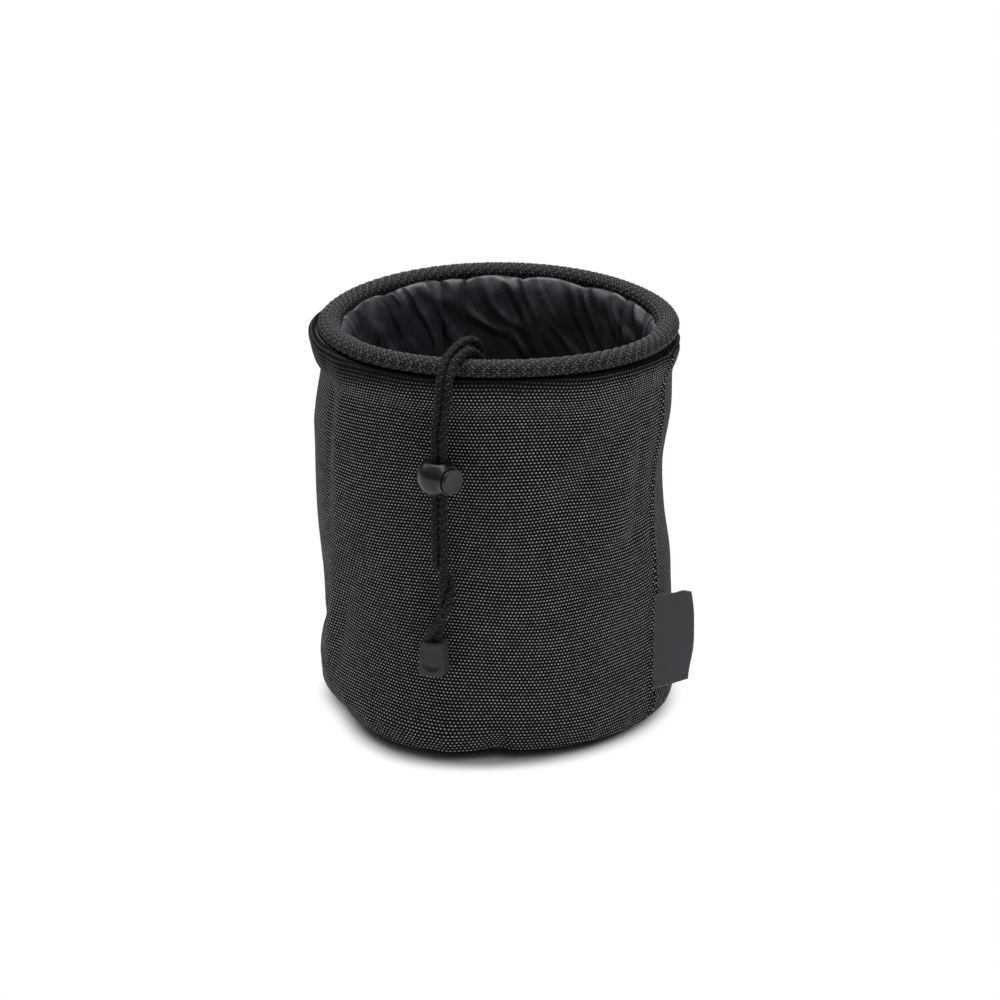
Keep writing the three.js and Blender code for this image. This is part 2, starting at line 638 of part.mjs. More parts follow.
// Cord lock, in its own frame: X along the bore, the strands through the origin, Z up
const SLOT_HALF_LENGTH = STRAND_X * Math.cos(LOCK_TURN) + CORD_RADIUS + FIT;
const SLOT_HALF_WIDTH = STRAND_X * Math.abs(Math.sin(LOCK_TURN)) + CORD_RADIUS + FIT;
const BALL_X = -LOCK_CORD_OFFSET;
const NOSE_X = BALL_X + LOCK_NOSE;
const BORE_RADIUS = BUTTON_RADIUS + FIT;
const POCKET_RADIUS = SPRING_RADIUS + SPRING_WIRE / 2 + FIT;
const FLOOR_X = BALL_X - Math.sqrt((LOCK_RADIUS - LOCK_WALL) ** 2 - BORE_RADIUS ** 2);
const POCKET_X = BALL_X - Math.sqrt((LOCK_RADIUS - LOCK_WALL) ** 2 - POCKET_RADIUS ** 2);
const HEEL_X = -SLOT_HALF_LENGTH - BUTTON_HEEL;

// A slot through the whole height between two places along the bore, its corners as round as the cord
function cordSlot(from, to) {
  const r = CORD_RADIUS + FIT;
  const x = [to - r, to - r, from + r, from + r];
  const y = SLOT_HALF_WIDTH - r;
  const corners = [-y, y, y, -y].flatMap((side, i) => {
    return arc(x[i], side, r, ((i - 1) * Math.PI) / 2, (i * Math.PI) / 2, 4);
  });
  const depth = 4 * LOCK_RADIUS;
  const options = { depth, bevelEnabled: false };
  return new THREE.ExtrudeGeometry(new THREE.Shape(corners), options).translate(0, 0, -depth / 2);
}

// A solid of revolution about X from (radius, place along X) points
function revolveAlongX(profile, segments) {
  return new THREE.LatheGeometry(profile, segments).rotateZ(-Math.PI / 2);
}

// A ball that runs on into a short nose, bored for the button, with a pocket for the spring behind it.
// The strands pass through a slot from a shallow dish in its top.
function lockBarrel() {
  const ball = arc(0, BALL_X, LOCK_RADIUS, -Math.PI / 2, LOCK_EASE, 9);
  const edgeRadius = LOCK_NOSE_RADIUS - LOCK_NOSE_EDGE;
  const nose = arc(edgeRadius, NOSE_X - LOCK_NOSE_EDGE, LOCK_NOSE_EDGE, 0, Math.PI / 2, 3);
  const profile = [
    ...ball,
    ...nose,
    new THREE.Vector2(BORE_RADIUS, NOSE_X),
    new THREE.Vector2(BORE_RADIUS, FLOOR_X),
    new THREE.Vector2(POCKET_RADIUS, FLOOR_X),
    new THREE.Vector2(POCKET_RADIUS, POCKET_X),
    new THREE.Vector2(0, POCKET_X),
  ];
  const barrel = revolveAlongX(profile, 24);
  const mouthHeight = LOCK_RADIUS - LOCK_MOUTH_DEPTH + LOCK_MOUTH_RADIUS;
  const dish = new THREE.CylinderGeometry(LOCK_MOUTH_RADIUS, LOCK_MOUTH_RADIUS, 3 * LOCK_RADIUS, 64);
  dish.translate(0, 0, mouthHeight);
  return cut(barrel, cordSlot(-SLOT_HALF_LENGTH, SLOT_HALF_LENGTH), dish);
}

function lockButton() {
  const face = NOSE_X + BUTTON_PROUD;
  const edge = arc(BUTTON_RADIUS - BUTTON_EDGE, face - BUTTON_EDGE, BUTTON_EDGE, 0, Math.PI / 2, 3);
  const profile = [
    new THREE.Vector2(0, HEEL_X),
    new THREE.Vector2(BUTTON_RADIUS, HEEL_X),
    ...edge,
    new THREE.Vector2(0, face),
  ];
  const slot = cordSlot(-SLOT_HALF_LENGTH, SLOT_HALF_LENGTH + BUTTON_TRAVEL + FIT);
  return cut(revolveAlongX(profile, 24), slot);
}

// A compression spring between the bottom of its pocket and the button's heel
function lockSpring() {
  const from = POCKET_X + FIT + SPRING_WIRE / 2;
  const to = HEEL_X - FIT - SPRING_WIRE / 2;
  const perTurn = 10;
  const steps = SPRING_TURNS * perTurn;
  const points = Array.from({ length: steps + 1 }, (_, i) => {
    const angle = (2 * Math.PI * i) / perTurn;
    const x = from + ((to - from) * i) / steps;
    return new THREE.Vector3(x, SPRING_RADIUS * Math.cos(angle), SPRING_RADIUS * Math.sin(angle));
  });
  return tube(points, SPRING_WIRE / 2, 6, steps);
}

// Cord end, in its own frame: X across, the back face at Y 0 and the front towards -Y, the top at Z 0
function endOutline(inset) {
  const top = END_TOP_WIDTH / 2 - inset;
  const bottom = END_BOTTOM_WIDTH / 2 - inset;
  const low = -END_HEIGHT + inset;
  const corner = END_CORNER - inset;
  const right = arc(bottom - corner, low + corner, corner, -Math.PI / 2, 0, 5);
  const left = arc(-bottom + corner, low + corner, corner, Math.PI, 1.5 * Math.PI, 5);
  return [new THREE.Vector2(top, -inset), new THREE.Vector2(-top, -inset), ...left, ...right];
}

// An outline in X and Z made solid towards -Y from a given Y
function slab(outline, y, depth) {
  const geometry = new THREE.ExtrudeGeometry(new THREE.Shape(outline), { depth, bevelEnabled: false });
  return geometry.rotateX(Math.PI / 2).translate(0, y, 0);
}

function endShell() {
  const body = slab(endOutline(0), 0, END_DEPTH);
  const cavity = slab(endOutline(END_WALL), END_WALL, END_DEPTH - END_FACE + END_WALL);
  const mouth = new THREE.BoxGeometry(
    2 * (STRAND_X + CORD_RADIUS + FIT),
    CORD_DIAMETER + 2 * FIT,
    4 * END_WALL,
  );
  mouth.translate(0, -END_DEPTH / 2, 0);
  const border = END_RECESS_BORDER;
  const wide = END_BOTTOM_WIDTH / 2 - border;
  const low = -END_HEIGHT + border;
  const thumb = [
    ...arc(0, low + wide, wide, Math.PI, 2 * Math.PI, 10),
    new THREE.Vector2(wide - 0.6, border),
    new THREE.Vector2(-wide + 0.6, border),
  ];
  const slope = Math.atan2(END_RECESS_DEPTH, END_HEIGHT - border);
  const recess = slab(thumb, 0, END_DEPTH);
  recess.rotateX(slope).translate(0, -END_DEPTH, 0);
  return cut(body, cavity, mouth, recess);
}

function endCover() {
  const plate = solid(slab(endOutline(END_WALL + FIT), 0, COVER_THICKNESS));
  const room = END_DEPTH / 2 - CORD_RADIUS - FIT - COVER_THICKNESS;
  const rib = new THREE.BoxGeometry(END_TOP_WIDTH - 2 * END_WALL - 4 * FIT, room * 2, CLAMP_RIB_WIDTH);
  const ribs = Array.from({ length: CLAMP_RIBS }, (_, i) => {
    return solid(rib.clone().translate(0, -COVER_THICKNESS, -END_WALL - CLAMP_RIB_PITCH * (i + 0.8)));
  });
  return geometryOf(ribs.reduce((whole, one) => whole.add(one), plate));
}

// Folded tab: a hairpin of woven tape whose open ends follow the wall at the seam
function sideTab() {
  const heading = new THREE.Vector3(Math.sin(TAB_HEADING), -Math.cos(TAB_HEADING), 0);
  const across = new THREE.Vector3(-heading.y, heading.x, 0);
  const bend = TAB_CLOTH + FIT / 2;
  const reach = TAB_WIDTH - bend;
  const outside = arc(reach, 0, bend, -Math.PI / 2, Math.PI / 2, 4);
  const inside = arc(reach, 0, FIT / 2, Math.PI / 2, -Math.PI / 2, 4);
  const hairpin = [
    new THREE.Vector2(0, -bend),
    ...outside,
    new THREE.Vector2(0, bend),
    new THREE.Vector2(0, FIT / 2),
    ...inside,
    new THREE.Vector2(0, -FIT / 2),
  ].reverse();
  const steps = 6;
  const rows = Array.from({ length: steps + 1 }, (_, k) => {
    const z = TAB_BOTTOM + (TAB_HEIGHT * k) / steps;
    const angle = seamAngle(z);
    const root = around(wallRadius(angle, z) + WALL_CLOTH / 2 + 3 * FIT, angle, z);
    return hairpin.map((p) => root.clone().addScaledVector(heading, p.x).addScaledVector(across, p.y));
  });
  return loft(rows, false);
}

const bag = new THREE.Group();
bag.add(piece('side_panel', settle(sidePanel()), wallMaterial));
bag.add(piece('side_seam_binding', sideSeamBinding(), tapeMaterial));
bag.add(piece('base_panel', basePanel(), wallMaterial));
bag.add(piece('base_seam_binding', baseSeamBinding(), tapeMaterial));
bag.add(piece('base_board', baseBoard(), boardMaterial));
bag.add(piece('rim_hoop', settle(rimHoop()), boardMaterial));
bag.add(piece('rim_binding', settle(rimBinding()), tapeMaterial));
bag.add(piece('drawstring_collar', settle(drawstringCollar()), collarMaterial));
bag.add(piece('drawcord_loop', drawcordLoop(), cordMaterial));
bag.add(piece('drawcord_rise_left', riseLeft(), cordMaterial));
bag.add(piece('drawcord_rise_right', riseRight(), cordMaterial));
bag.add(piece('drawcord_tail_left', tailLeft(), cordMaterial));
bag.add(piece('drawcord_tail_right', tailRight(), cordMaterial));
bag.add(piece('side_label', sideTab(), tabMaterial));

const lock = new THREE.Group();
lock.position.set(LOCK_X, STRAND_Y, LOCK_Z);
lock.rotation.z = LOCK_TURN;
lock.add(piece('cord_lock_barrel', lockBarrel(), lockMaterial));
lock.add(piece('cord_lock_button', lockButton(), lockMaterial));
lock.add(piece('cord_lock_spring', lockSpring(), steelMaterial));
bag.add(lock);

const cordEnd = new THREE.Group();
cordEnd.position.set(END_X, END_Y + END_DEPTH / 2, END_TOP_Z);
cordEnd.add(piece('cord_end_shell', endShell(), lockMaterial));
cordEnd.add(piece('cord_end_cover', endCover(), lockMaterial));
bag.add(cordEnd);
bag.position.z = BASE_SAG;

export default bag;
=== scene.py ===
"""Dresses the frame of a free-standing drawstring peg bag in cloth, braid and moulded plastic.

Formulas work in millimetres above the edge of the base seam, and to_row turns them into metres in the
row frame, where the bag stands on its sagging base. Angles round the bag run from -Y, where the
drawcord hangs, towards +X, where the side seam and its label are.
"""

import math

import bmesh
import bpy
import numpy as np
from bpy.props import FloatProperty, FloatVectorProperty, IntProperty, PointerProperty
from bpy.types import Operator, Panel, PropertyGroup
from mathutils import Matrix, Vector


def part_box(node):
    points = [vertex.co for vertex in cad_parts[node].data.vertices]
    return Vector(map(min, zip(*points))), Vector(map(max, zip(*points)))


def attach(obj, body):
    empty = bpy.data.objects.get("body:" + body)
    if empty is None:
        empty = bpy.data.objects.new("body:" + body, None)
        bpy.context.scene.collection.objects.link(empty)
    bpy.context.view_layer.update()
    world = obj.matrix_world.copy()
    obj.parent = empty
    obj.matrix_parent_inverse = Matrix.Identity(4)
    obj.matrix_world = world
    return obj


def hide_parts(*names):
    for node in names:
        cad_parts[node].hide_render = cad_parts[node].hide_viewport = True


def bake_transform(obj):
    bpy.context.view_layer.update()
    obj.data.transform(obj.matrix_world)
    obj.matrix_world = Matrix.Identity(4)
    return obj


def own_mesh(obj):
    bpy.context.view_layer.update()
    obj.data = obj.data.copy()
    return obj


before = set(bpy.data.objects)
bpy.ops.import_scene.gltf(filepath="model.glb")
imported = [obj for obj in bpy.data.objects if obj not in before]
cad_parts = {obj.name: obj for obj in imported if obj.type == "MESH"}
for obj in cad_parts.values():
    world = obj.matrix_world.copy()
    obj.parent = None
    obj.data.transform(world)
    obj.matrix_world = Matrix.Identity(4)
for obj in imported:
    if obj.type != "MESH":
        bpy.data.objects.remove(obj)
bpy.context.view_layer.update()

bl_info = {
    "name": "Drawstring Peg Bag",
    "version": (1, 0, 0),
    "blender": (4, 5, 0),
    "location": "View3D > Sidebar > Peg Bag",
    "description": "Dresses the peg bag's frame in woven cloth, braid, nylon and moulded plastic",
    "category": "Add Mesh",
}

MM = 0.001
TAU = 2 * math.pi

# How far the base sags below the edge of its seam
SAG = 3.0
BAG_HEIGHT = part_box("rim_binding")[1].z - SAG * MM

# Gap between neighbouring pieces of the frame
FIT = 0.3

# Wall: heights of its roll and pinch below the rim, of its waist and hip, and of the edge in the rim;
# its hem is tucked in under the base edge, and it leans to the side away from the seam
ROLL_DROP = 14.5
PINCH_DROP = 27.0
WAIST_Z = 46.0
HIP_Z = 17.0
RIM_TUCK_Z = 178.1
HEM_TUCK = 7.5
HEM_HEIGHT = 8.0
LEAN = 2.6
LEAN_SIDE = -73
FLECK_HALF_WIDTH = 0.44
FLECK_HALF_HEIGHT = 0.30

# Edges of the wall and the collar inside the rim, outwards and inwards from its ring
WALL_EDGE = 0.55
COLLAR_EDGE = 0.75

# Base and the tapes over the seams
BASE_CLOTH = 1.2
BASE_FLAT = 60.0
TAPE = 0.8
TAPE_RIB = 0.9
TAPE_COLOUR = (0.014, 0.014, 0.016)

# Side seam: where it runs at the rim and at the label's top, how far it slants along the label, and the
# label's foot and heading
SEAM = math.radians(85.5)
SEAM_FOOT = math.radians(79.5)
SEAM_SLANT = math.radians(4)
SLANT_TOP = 59.0
SLANT_RUN = 44.0
LABEL_Z = 15.2
LABEL_HEADING = math.radians(126)

# Rim: it rises away from this angle and sags at both sides of it
RIM_LINE = math.radians(17)
RIM_TILT = 1.3
RIM_SAG = 1.1

# Soft dents of the wall: angle in degrees, height, half-widths in degrees and mm, depth
DENTS = (
    (100, 104, 24, 17, 4.6),
    (46, 122, 11, 16, 2.0),
    (42, 72, 12, 12, 1.4),
    (-57, 150, 9, 26, 1.2),
    (-1, 126, 17, 34, 3.0),
    (180, 112, 20, 26, 2.2),
    (-130, 84, 16, 20, 1.6),
)
# Creases on top of them: angle, height, slope in degrees, half-length, half-width, rise
CREASES = (
    (46, 126, 42, 24, 5.5, -1.8),
    (38, 138, 42, 24, 6.5, 1.2),
    (70, 126, 88, 26, 4.0, -1.3),
    (67, 93, 15, 9, 5.0, -2.4),
    (58, 97, -24, 14, 4.0, 1.3),
    (12, 84, 0, 16, 6.0, -1.2),
    (42, 74, -20, 20, 6.0, -1.3),
    (-28, 76, 16, 18, 6.0, -0.9),
    (-49, 140, 90, 28, 3.6, -1.6),
    (-42, 138, 86, 24, 4.0, 1.0),
    (-68, 66, 70, 22, 5.0, -1.1),
    (-76, 34, 18, 14, 5.0, -1.8),
    (-74, 16, 0, 20, 6.0, 0.8),
    (-63, 42, 72, 22, 5.5, -2.6),
    (-54, 38, 74, 22, 6.5, 2.0),
    (-45, 40, 68, 22, 5.5, -1.8),
    (-73, 158, 0, 14, 7.0, -0.8),
    (-73, 132, 0, 16, 9.0, 0.8),
    (24, 52, -38, 18, 5.0, -0.8),
    (118, 66, 60, 20, 5.0, 1.2),
    (150, 128, -40, 26, 6.0, -1.4),
    (205, 88, 25, 24, 6.0, -1.4),
    (236, 132, 55, 24, 6.0, -1.2),
    (168, 60, 12, 22, 6.0, -1.0),
)

# Drawcord: where the strands leave the hem tunnel, hang, bend and enter the cord end, with the lock
STRAND_X = 1.95
STRAND_Y = -90.4
HANG_X = 3.0
LOCK_X = 0.6
SPLIT_Z = 178.0
BEND_Z = 161.0
HEM_LINE = (68.95, 135.0)
EXIT_ANGLE = math.radians(10.5)
EXIT_HALF_GAP = math.radians(8.5)
LOCK_Z = 132.6
LOCK_TURN = math.radians(-29)
LOCK_FLAT = 7.3
BALL_X = -0.8
SPRING_POCKET = 4.2
STEM_STEP = 0.6
END_X = -3.2
END_Y = -88.0
END_TOP_Z = 54.8
END_HEIGHT = 15.7
END_EDGE = 0.9
PLATE_POCKET = 1.6
STRAND_FOOT = 43.3


def to_mm(length):
    """A length of the settings, in millimetres."""
    return length / MM


def to_row(points):
    """Points of the formulas, in metres in the row frame."""
    return (np.asarray(points, float) + (0, 0, SAG)) * MM


def length_setting(name, description, default):
    """A length, kept in metres."""
    return FloatProperty(name=name, description=description, default=default, unit="LENGTH")


def angle_setting(name, description, default):
    """An angle, kept in radians."""
    return FloatProperty(name=name, description=description, default=default, subtype="ANGLE")


def colour_setting(name, description, default):
    """A colour of three linear channels."""
    return FloatVectorProperty(
        name=name, description=description, default=default, subtype="COLOR", min=0, max=1
    )


class WallSettings(PropertyGroup):
    """Sizes and colours of the wall cloth"""

    height: length_setting(
        "Height", "Height of the bag from its base seam to the top of its rim", BAG_HEIGHT
    )
    roll: length_setting("Roll", "Radius of the soft roll below the rim", 0.0832)
    pinch: length_setting("Pinch", "Radius of the wall below the roll", 0.0806)
    belly: length_setting("Belly", "Radius of the wall at half height", 0.0816)
    waist: length_setting("Waist", "Radius of the wall below the belly", 0.0808)
    hip: length_setting("Hip", "Radius of the wall above the base seam", 0.0822)
    cloth: length_setting("Cloth", "Thickness of the wall cloth", 0.0012)
    weave_across: length_setting("Weave Across", "Distance between flecks round the bag", 0.00168)
    weave_down: length_setting("Weave Down", "Distance between rows of flecks", 0.0015)
    ground: colour_setting("Ground", "Colour of the dark yarn", (0.0036, 0.0036, 0.0042))
    fleck: colour_setting("Fleck", "Colour of the light yarn that shows as flecks", (0.56, 0.56, 0.57))


class RimSettings(PropertyGroup):
    """Sizes and colour of the braided rim"""

    radius: length_setting("Ring Radius", "Radius of the ring through the middle of the braid", 0.0771)
    width: length_setting("Width", "Width of the flattened tube", 0.0103)
    thickness: length_setting("Thickness", "Height of the flattened tube", 0.0073)
    stitches: IntProperty(name="Stitches", description="Yarns round the rim in each band", default=235)
    courses: IntProperty(name="Courses", description="Pairs of yarn bands round the tube", default=12)
    relief: length_setting("Relief", "Depth between the yarns", 0.0013)
    colour: colour_setting("Colour", "Colour of the rim's yarn", (0.031, 0.0314, 0.0335))


class CollarSettings(PropertyGroup):
    """Sizes and colour of the drawstring collar"""

    drop: length_setting("Drop", "How far the collar hangs below the rim", 0.040)
    lean: length_setting("Lean", "How far the hem stands in from the rim", 0.0046)
    puff: length_setting("Puff", "How far the cloth puffs in between its gathers", 0.0042)
    cloth: length_setting("Cloth", "Thickness of the collar cloth", 0.0005)
    colour: colour_setting("Colour", "Colour of the nylon", (0.036, 0.038, 0.047))


class CordSettings(PropertyGroup):
    """Sizes and colour of the drawcord"""

    diameter: length_setting("Diameter", "Diameter of the cord", 0.0036)
    pitch: length_setting("Pitch", "Length of cord from one yarn to the next", 0.00145)
    courses: IntProperty(name="Courses", description="Pairs of yarn bands round the cord", default=4)
    relief: length_setting("Relief", "Depth between the yarns", 0.0006)
    colour: colour_setting("Colour", "Colour of the cord's yarn", (0.0145, 0.0145, 0.0155))


class LockSettings(PropertyGroup):
    """Sizes and colour of the ball lock and the cord end"""

    radius: length_setting("Ball Radius", "Radius of the ball lock", 0.00915)
    nose: length_setting("Nose", "Distance from the ball's middle to its open nose", 0.0082)
    nose_radius: length_setting("Nose Radius", "Radius of the open nose", 0.0065)
    button: length_setting("Button Radius", "Radius of the button", 0.0057)
    proud: length_setting("Button Proud", "How far the button stands out of the nose", 0.0021)
    end_top: length_setting("End Top", "Width of the cord end at its top", 0.0108)
    end_bottom: length_setting("End Bottom", "Width of the cord end at its foot", 0.0122)
    end_depth: length_setting("End Depth", "Depth of the cord end", 0.008)
    colour: colour_setting("Colour", "Colour of the moulded plastic", (0.0045, 0.0045, 0.0048))


class LabelSettings(PropertyGroup):
    """Sizes and colour of the side label"""

    width: length_setting("Width", "How far the folded label stands out of the seam", 0.0167)
    height: length_setting("Height", "Height of the label", 0.044)
    cloth: length_setting("Cloth", "Thickness of the label's tape", 0.0005)
    colour: colour_setting("Colour", "Colour of the label's tape", (0.050, 0.053, 0.059))


class StageSettings(PropertyGroup):
    """Camera, floor and light"""

    distance: length_setting("Distance", "Level distance of the camera from the bag's axis", 1.3405)
    height: length_setting("Camera Height", "Height of the camera above the floor", 0.5644)
    azimuth: angle_setting(
        "Azimuth", "How far the camera stands round from the front", math.radians(17)
    )
    yaw: angle_setting("Yaw", "How far the camera looks past the bag's axis", 0.00049)
    pitch: angle_setting("Pitch", "How far the camera looks down", 0.337)
    lens: FloatProperty(
        name="Lens", description="Focal length on a 36 mm sensor, in millimetres", default=110.0
    )
    floor: colour_setting("Floor", "Colour of the floor", (0.90, 0.90, 0.90))
    key: FloatProperty(name="Key", description="Power of the large lamp overhead, in watts", default=26.0)
    fill: FloatProperty(name="Fill", description="Power of the lamp at each side, in watts", default=7.5)
    sky: FloatProperty(name="Sky", description="Strength of the soft light from all round", default=0.2)


class PegBagSettings(PropertyGroup):
    """All settings of the peg bag"""

    wall: PointerProperty(type=WallSettings)
    rim: PointerProperty(type=RimSettings)
    collar: PointerProperty(type=CollarSettings)
    cord: PointerProperty(type=CordSettings)
    lock: PointerProperty(type=LockSettings)
    label: PointerProperty(type=LabelSettings)
    stage: PointerProperty(type=StageSettings)


class Field:
    """A socket of a node tree. Sums on it add Math nodes, and node adds any other node."""

    def __init__(self, socket):
        self.socket = socket

    def node(self, kind, settings=None, inputs=None, output=0):
        """A node of that type in the same tree: its settings first, then the values or links of its
        sockets. Gives one of the node's outputs."""
        tree = self.socket.id_data
        made = tree.nodes.new(kind)
        for name, value in (settings or {}).items():
            setattr(made, name, value)
        for key, value in (inputs or {}).items():
            if isinstance(value, Field):
                tree.links.new(value.socket, made.inputs[key])
            else:
                made.inputs[key].default_value = value
        return Field(made.outputs[output])

    def math(self, operation, *values):
        return self.node("ShaderNodeMath", {"operation": operation}, dict(enumerate(values)))

    def __add__(self, other):
        return self.math("ADD", self, other)

    def __radd__(self, other):
        return self.math("ADD", other, self)

    def __sub__(self, other):
        return self.math("SUBTRACT", self, other)

    def __rsub__(self, other):
        return self.math("SUBTRACT", other, self)

    def __mul__(self, other):
        return self.math("MULTIPLY", self, other)

    def __rmul__(self, other):
        return self.math("MULTIPLY", other, self)

    def __truediv__(self, other):
        return self.math("DIVIDE", self, other)

    def __rtruediv__(self, other):
        return self.math("DIVIDE", other, self)

    def __mod__(self, other):
        return self.math("FLOORED_MODULO", self, other)


def floor_of(field):
    return field.math("FLOOR", field)


def wave_of(field):
    """Sine of a field, from 0 to 1."""
    return field.math("SINE", field) * 0.5 + 0.5


def step_of(field, low, high):
    """A smooth step of a field, from 0 at low to 1 at high."""
    settings = {"interpolation_type": "SMOOTHSTEP"}
    return field.node("ShaderNodeMapRange", settings, {0: field, 1: low, 2: high, 3: 0.0, 4: 1.0})


def parts_of(field):
    """The first two parts of a vector."""
    first = field.node("ShaderNodeSeparateXYZ", None, {0: field})
    return first, Field(first.socket.node.outputs[1])


def mix_of(share, first, second):
    """The colour that is first where share is 0 and second where it is 1."""
    return share.node("ShaderNodeMix", {"data_type": "RGBA"}, {0: share, 6: first, 7: second}, 2)


def opaque(colour, gain=1.0):
    return (*(channel * gain for channel in colour), 1.0)


def piece_place(field):
    """Places in the piece's own frame."""
    return field.node("ShaderNodeTexCoord", None, None, 3)


def noise_of(field, place, scale, detail=2.0, rough=0.5):
    """Soft noise from 0 to 1."""
    inputs = {"Vector": place, "Scale": scale, "Detail": detail, "Roughness": rough}
    return field.node("ShaderNodeTexNoise", None, inputs)


def own_map(field):
    """The piece's own map: millimetres along its cloth."""
    return field.node("ShaderNodeUVMap", {"uv_map": "cloth"})


def mark_of(field, name):
    """A number kept at each point of the piece."""
    return field.node("ShaderNodeAttribute", {"attribute_name": name}, None, 2)


def bump_of(height, distance, strength=1.0, below=None):
    """A normal from a height, with the full height given in millimetres."""
    inputs = {"Height": height, "Distance": distance * MM, "Strength": strength}
    if below is not None:
        inputs["Normal"] = below
    return height.node("ShaderNodeBump", None, inputs)


def make_finish(name, build):
    """A material whose surface is the shader that build gives from a first socket."""
    material = bpy.data.materials.new(name)
    material.use_nodes = True
    tree = material.node_tree
    tree.nodes.clear()
    end = tree.nodes.new("ShaderNodeOutputMaterial").inputs["Surface"]
    tree.links.new(build(Field(end)).socket, end)
    return material


def surface_of(colour, rough, normal, gloss=0.5, **more):
    """The shader of a surface. A word of more with underscores is an input's name in small letters."""
    inputs = {"Base Color": colour, "Roughness": rough, "Normal": normal, "Specular IOR Level": gloss}
    for name, value in more.items():
        inputs[name.replace("_", " ").title()] = value
    return colour.node("ShaderNodeBsdfPrincipled", None, inputs)


def wall_finish(wall):
    """Bird's-eye cloth: light flecks in staggered rows on black yarn. A fleck is an oval round the
    middle of its cell, and every other row is moved by half a cell."""
    across = to_mm(wall.weave_across)
    down = to_mm(wall.weave_down)

    def build(start):
        u, v = parts_of(own_map(start))
        row = floor_of(v / down)
        place = u / across + (row % 2.0) * 0.5
        column = floor_of(place)
        x = (place - column - 0.5) * (across / FLECK_HALF_WIDTH)
        y = (v / down - row - 0.5) * (down / FLECK_HALF_HEIGHT)
        away = start.math("SQRT", x * x + y * y)
        cell = start.node("ShaderNodeCombineXYZ", None, {0: column, 1: row})
        chance = start.node("ShaderNodeTexWhiteNoise", {"noise_dimensions": "2D"}, {"Vector": cell})
        fleck = step_of(away, 1.18, 0.66)
        patch = noise_of(start, own_map(start), 0.035, 3.0)
        # Painted shade: each fleck is dimmed by the mark kept at the points, under the rim and round the
        # side past the seam
        shine = fleck * (chance * 0.6 + 0.55) * (patch * 0.6 + 0.7) * mark_of(start, "bright")
        yarn = wave_of(u * (TAU / across * 4)) * 0.4 + wave_of(v * (TAU / down * 2)) * 0.6
        colour = mix_of(shine, opaque(wall.ground), opaque(wall.fleck))
        normal = bump_of(fleck + yarn * 0.25, 0.16, 0.8)
        return surface_of(colour, 0.78 - fleck * 0.2, normal, gloss=0.1)

    return make_finish("wall_cloth", build)


def braid_finish(name, colour, shine, gloss):
    """Braided yarn: painted shade between the yarns and painted highlights on their crowns, with fine
    filaments along each of them.
    """

    def build(start):
        relief = mark_of(start, "relief")
        yarn = mark_of(start, "yarn")
        patch = noise_of(start, own_map(start), 0.6, 3.0)
        crown = step_of(relief, 0.52, 0.95)
        filament = wave_of(yarn * (TAU * 5)) * crown
        # Painted light: from the relief mark, the colour falls to 0.08 of the yarn's between the yarns as
        # painted shade and rises to 4.2 times it on the crowns as painted highlights
        tint = mix_of(crown * (patch * 0.9 + 0.5), opaque(colour, 0.08), opaque(colour, 4.2))
        rough = 0.56 - crown * shine + patch * 0.08
        return surface_of(tint, rough, bump_of(filament, 0.05, 0.7), gloss)

    return make_finish(name, build)


def nylon_finish(collar):
    """Thin satin nylon: a fine plain weave, small soft creases, slanted folds and paler patches."""

    def build(start):
        place = own_map(start)
        u, v = parts_of(place)
        weave = wave_of(u * (TAU / 0.32)) * wave_of(v * (TAU / 0.32))
        crease = noise_of(start, place, 0.11, 4.0, 0.55)
        small = noise_of(start, place, 0.5, 3.0)
        spread = {0: u * 0.018 + v * 0.015, 1: v * 0.04 - u * 0.046}
        slanted = start.node("ShaderNodeCombineXYZ", None, spread)
        fold = start.math("ABSOLUTE", noise_of(start, slanted, 1.0, 1.0, 0.4) - 0.5)
        soft = bump_of(crease * 0.5 + step_of(fold, 0.15, 0.0) * 1.3, 1.8, 0.8)
        colour = mix_of(step_of(small, 0.3, 0.8), opaque(collar.colour, 0.85), opaque(collar.colour, 1.2))
        normal = bump_of(weave, 0.02, 0.5, soft)
        return surface_of(colour, 0.32 + small * 0.12, normal, gloss=0.8)

    return make_finish("collar_nylon", build)


def plastic_finish(name, colour, rough):
    """Moulded plastic: a fine spark-eroded grain, faint flow marks and paler, smoother worn patches."""

    def build(start):
        place = piece_place(start)
        grain = noise_of(start, place, 9000.0, 2.0)
        flow = noise_of(start, place, 260.0, 3.0)
        rub = noise_of(start, place, 900.0, 4.0, 0.7)
        worn = step_of(rub, 0.62, 0.78) * 0.35
        tint = mix_of(worn + flow * 0.25, opaque(colour, 0.92), opaque(colour, 1.5))
        return surface_of(tint, rough + grain * 0.10 - worn * 0.12, bump_of(grain, 0.03, 0.4))

    return make_finish(name, build)


def label_finish(label):
    """Woven tape: fine twill lines and ribs, slightly paler floats and pale frayed threads at its foot.
    """

    def build(start):
        place = own_map(start)
        u, v = parts_of(place)
        twill = wave_of((u + v) * (TAU / 0.5))
        ribs = wave_of(v * (TAU / 0.36))
        patch = noise_of(start, place, 0.16, 3.0)
        share = twill * 0.35 + ribs * 0.25 + patch * 0.4
        woven = mix_of(share, opaque(label.colour, 0.72), opaque(label.colour, 1.28))
        loose = noise_of(start, place, 1.1, 3.0, 0.7)
        fray = step_of(v, 1.1, 0.3) * step_of(loose, 0.42, 0.62) * step_of(u, 17.0, 6.0)
        colour = mix_of(fray, woven, opaque((0.22, 0.23, 0.24)))
        normal = bump_of(twill + ribs * 0.6, 0.05, 0.6)
        return surface_of(colour, 0.72 + patch * 0.1, normal, sheen_weight=0.15, sheen_roughness=0.4)

    return make_finish("label_tape", build)


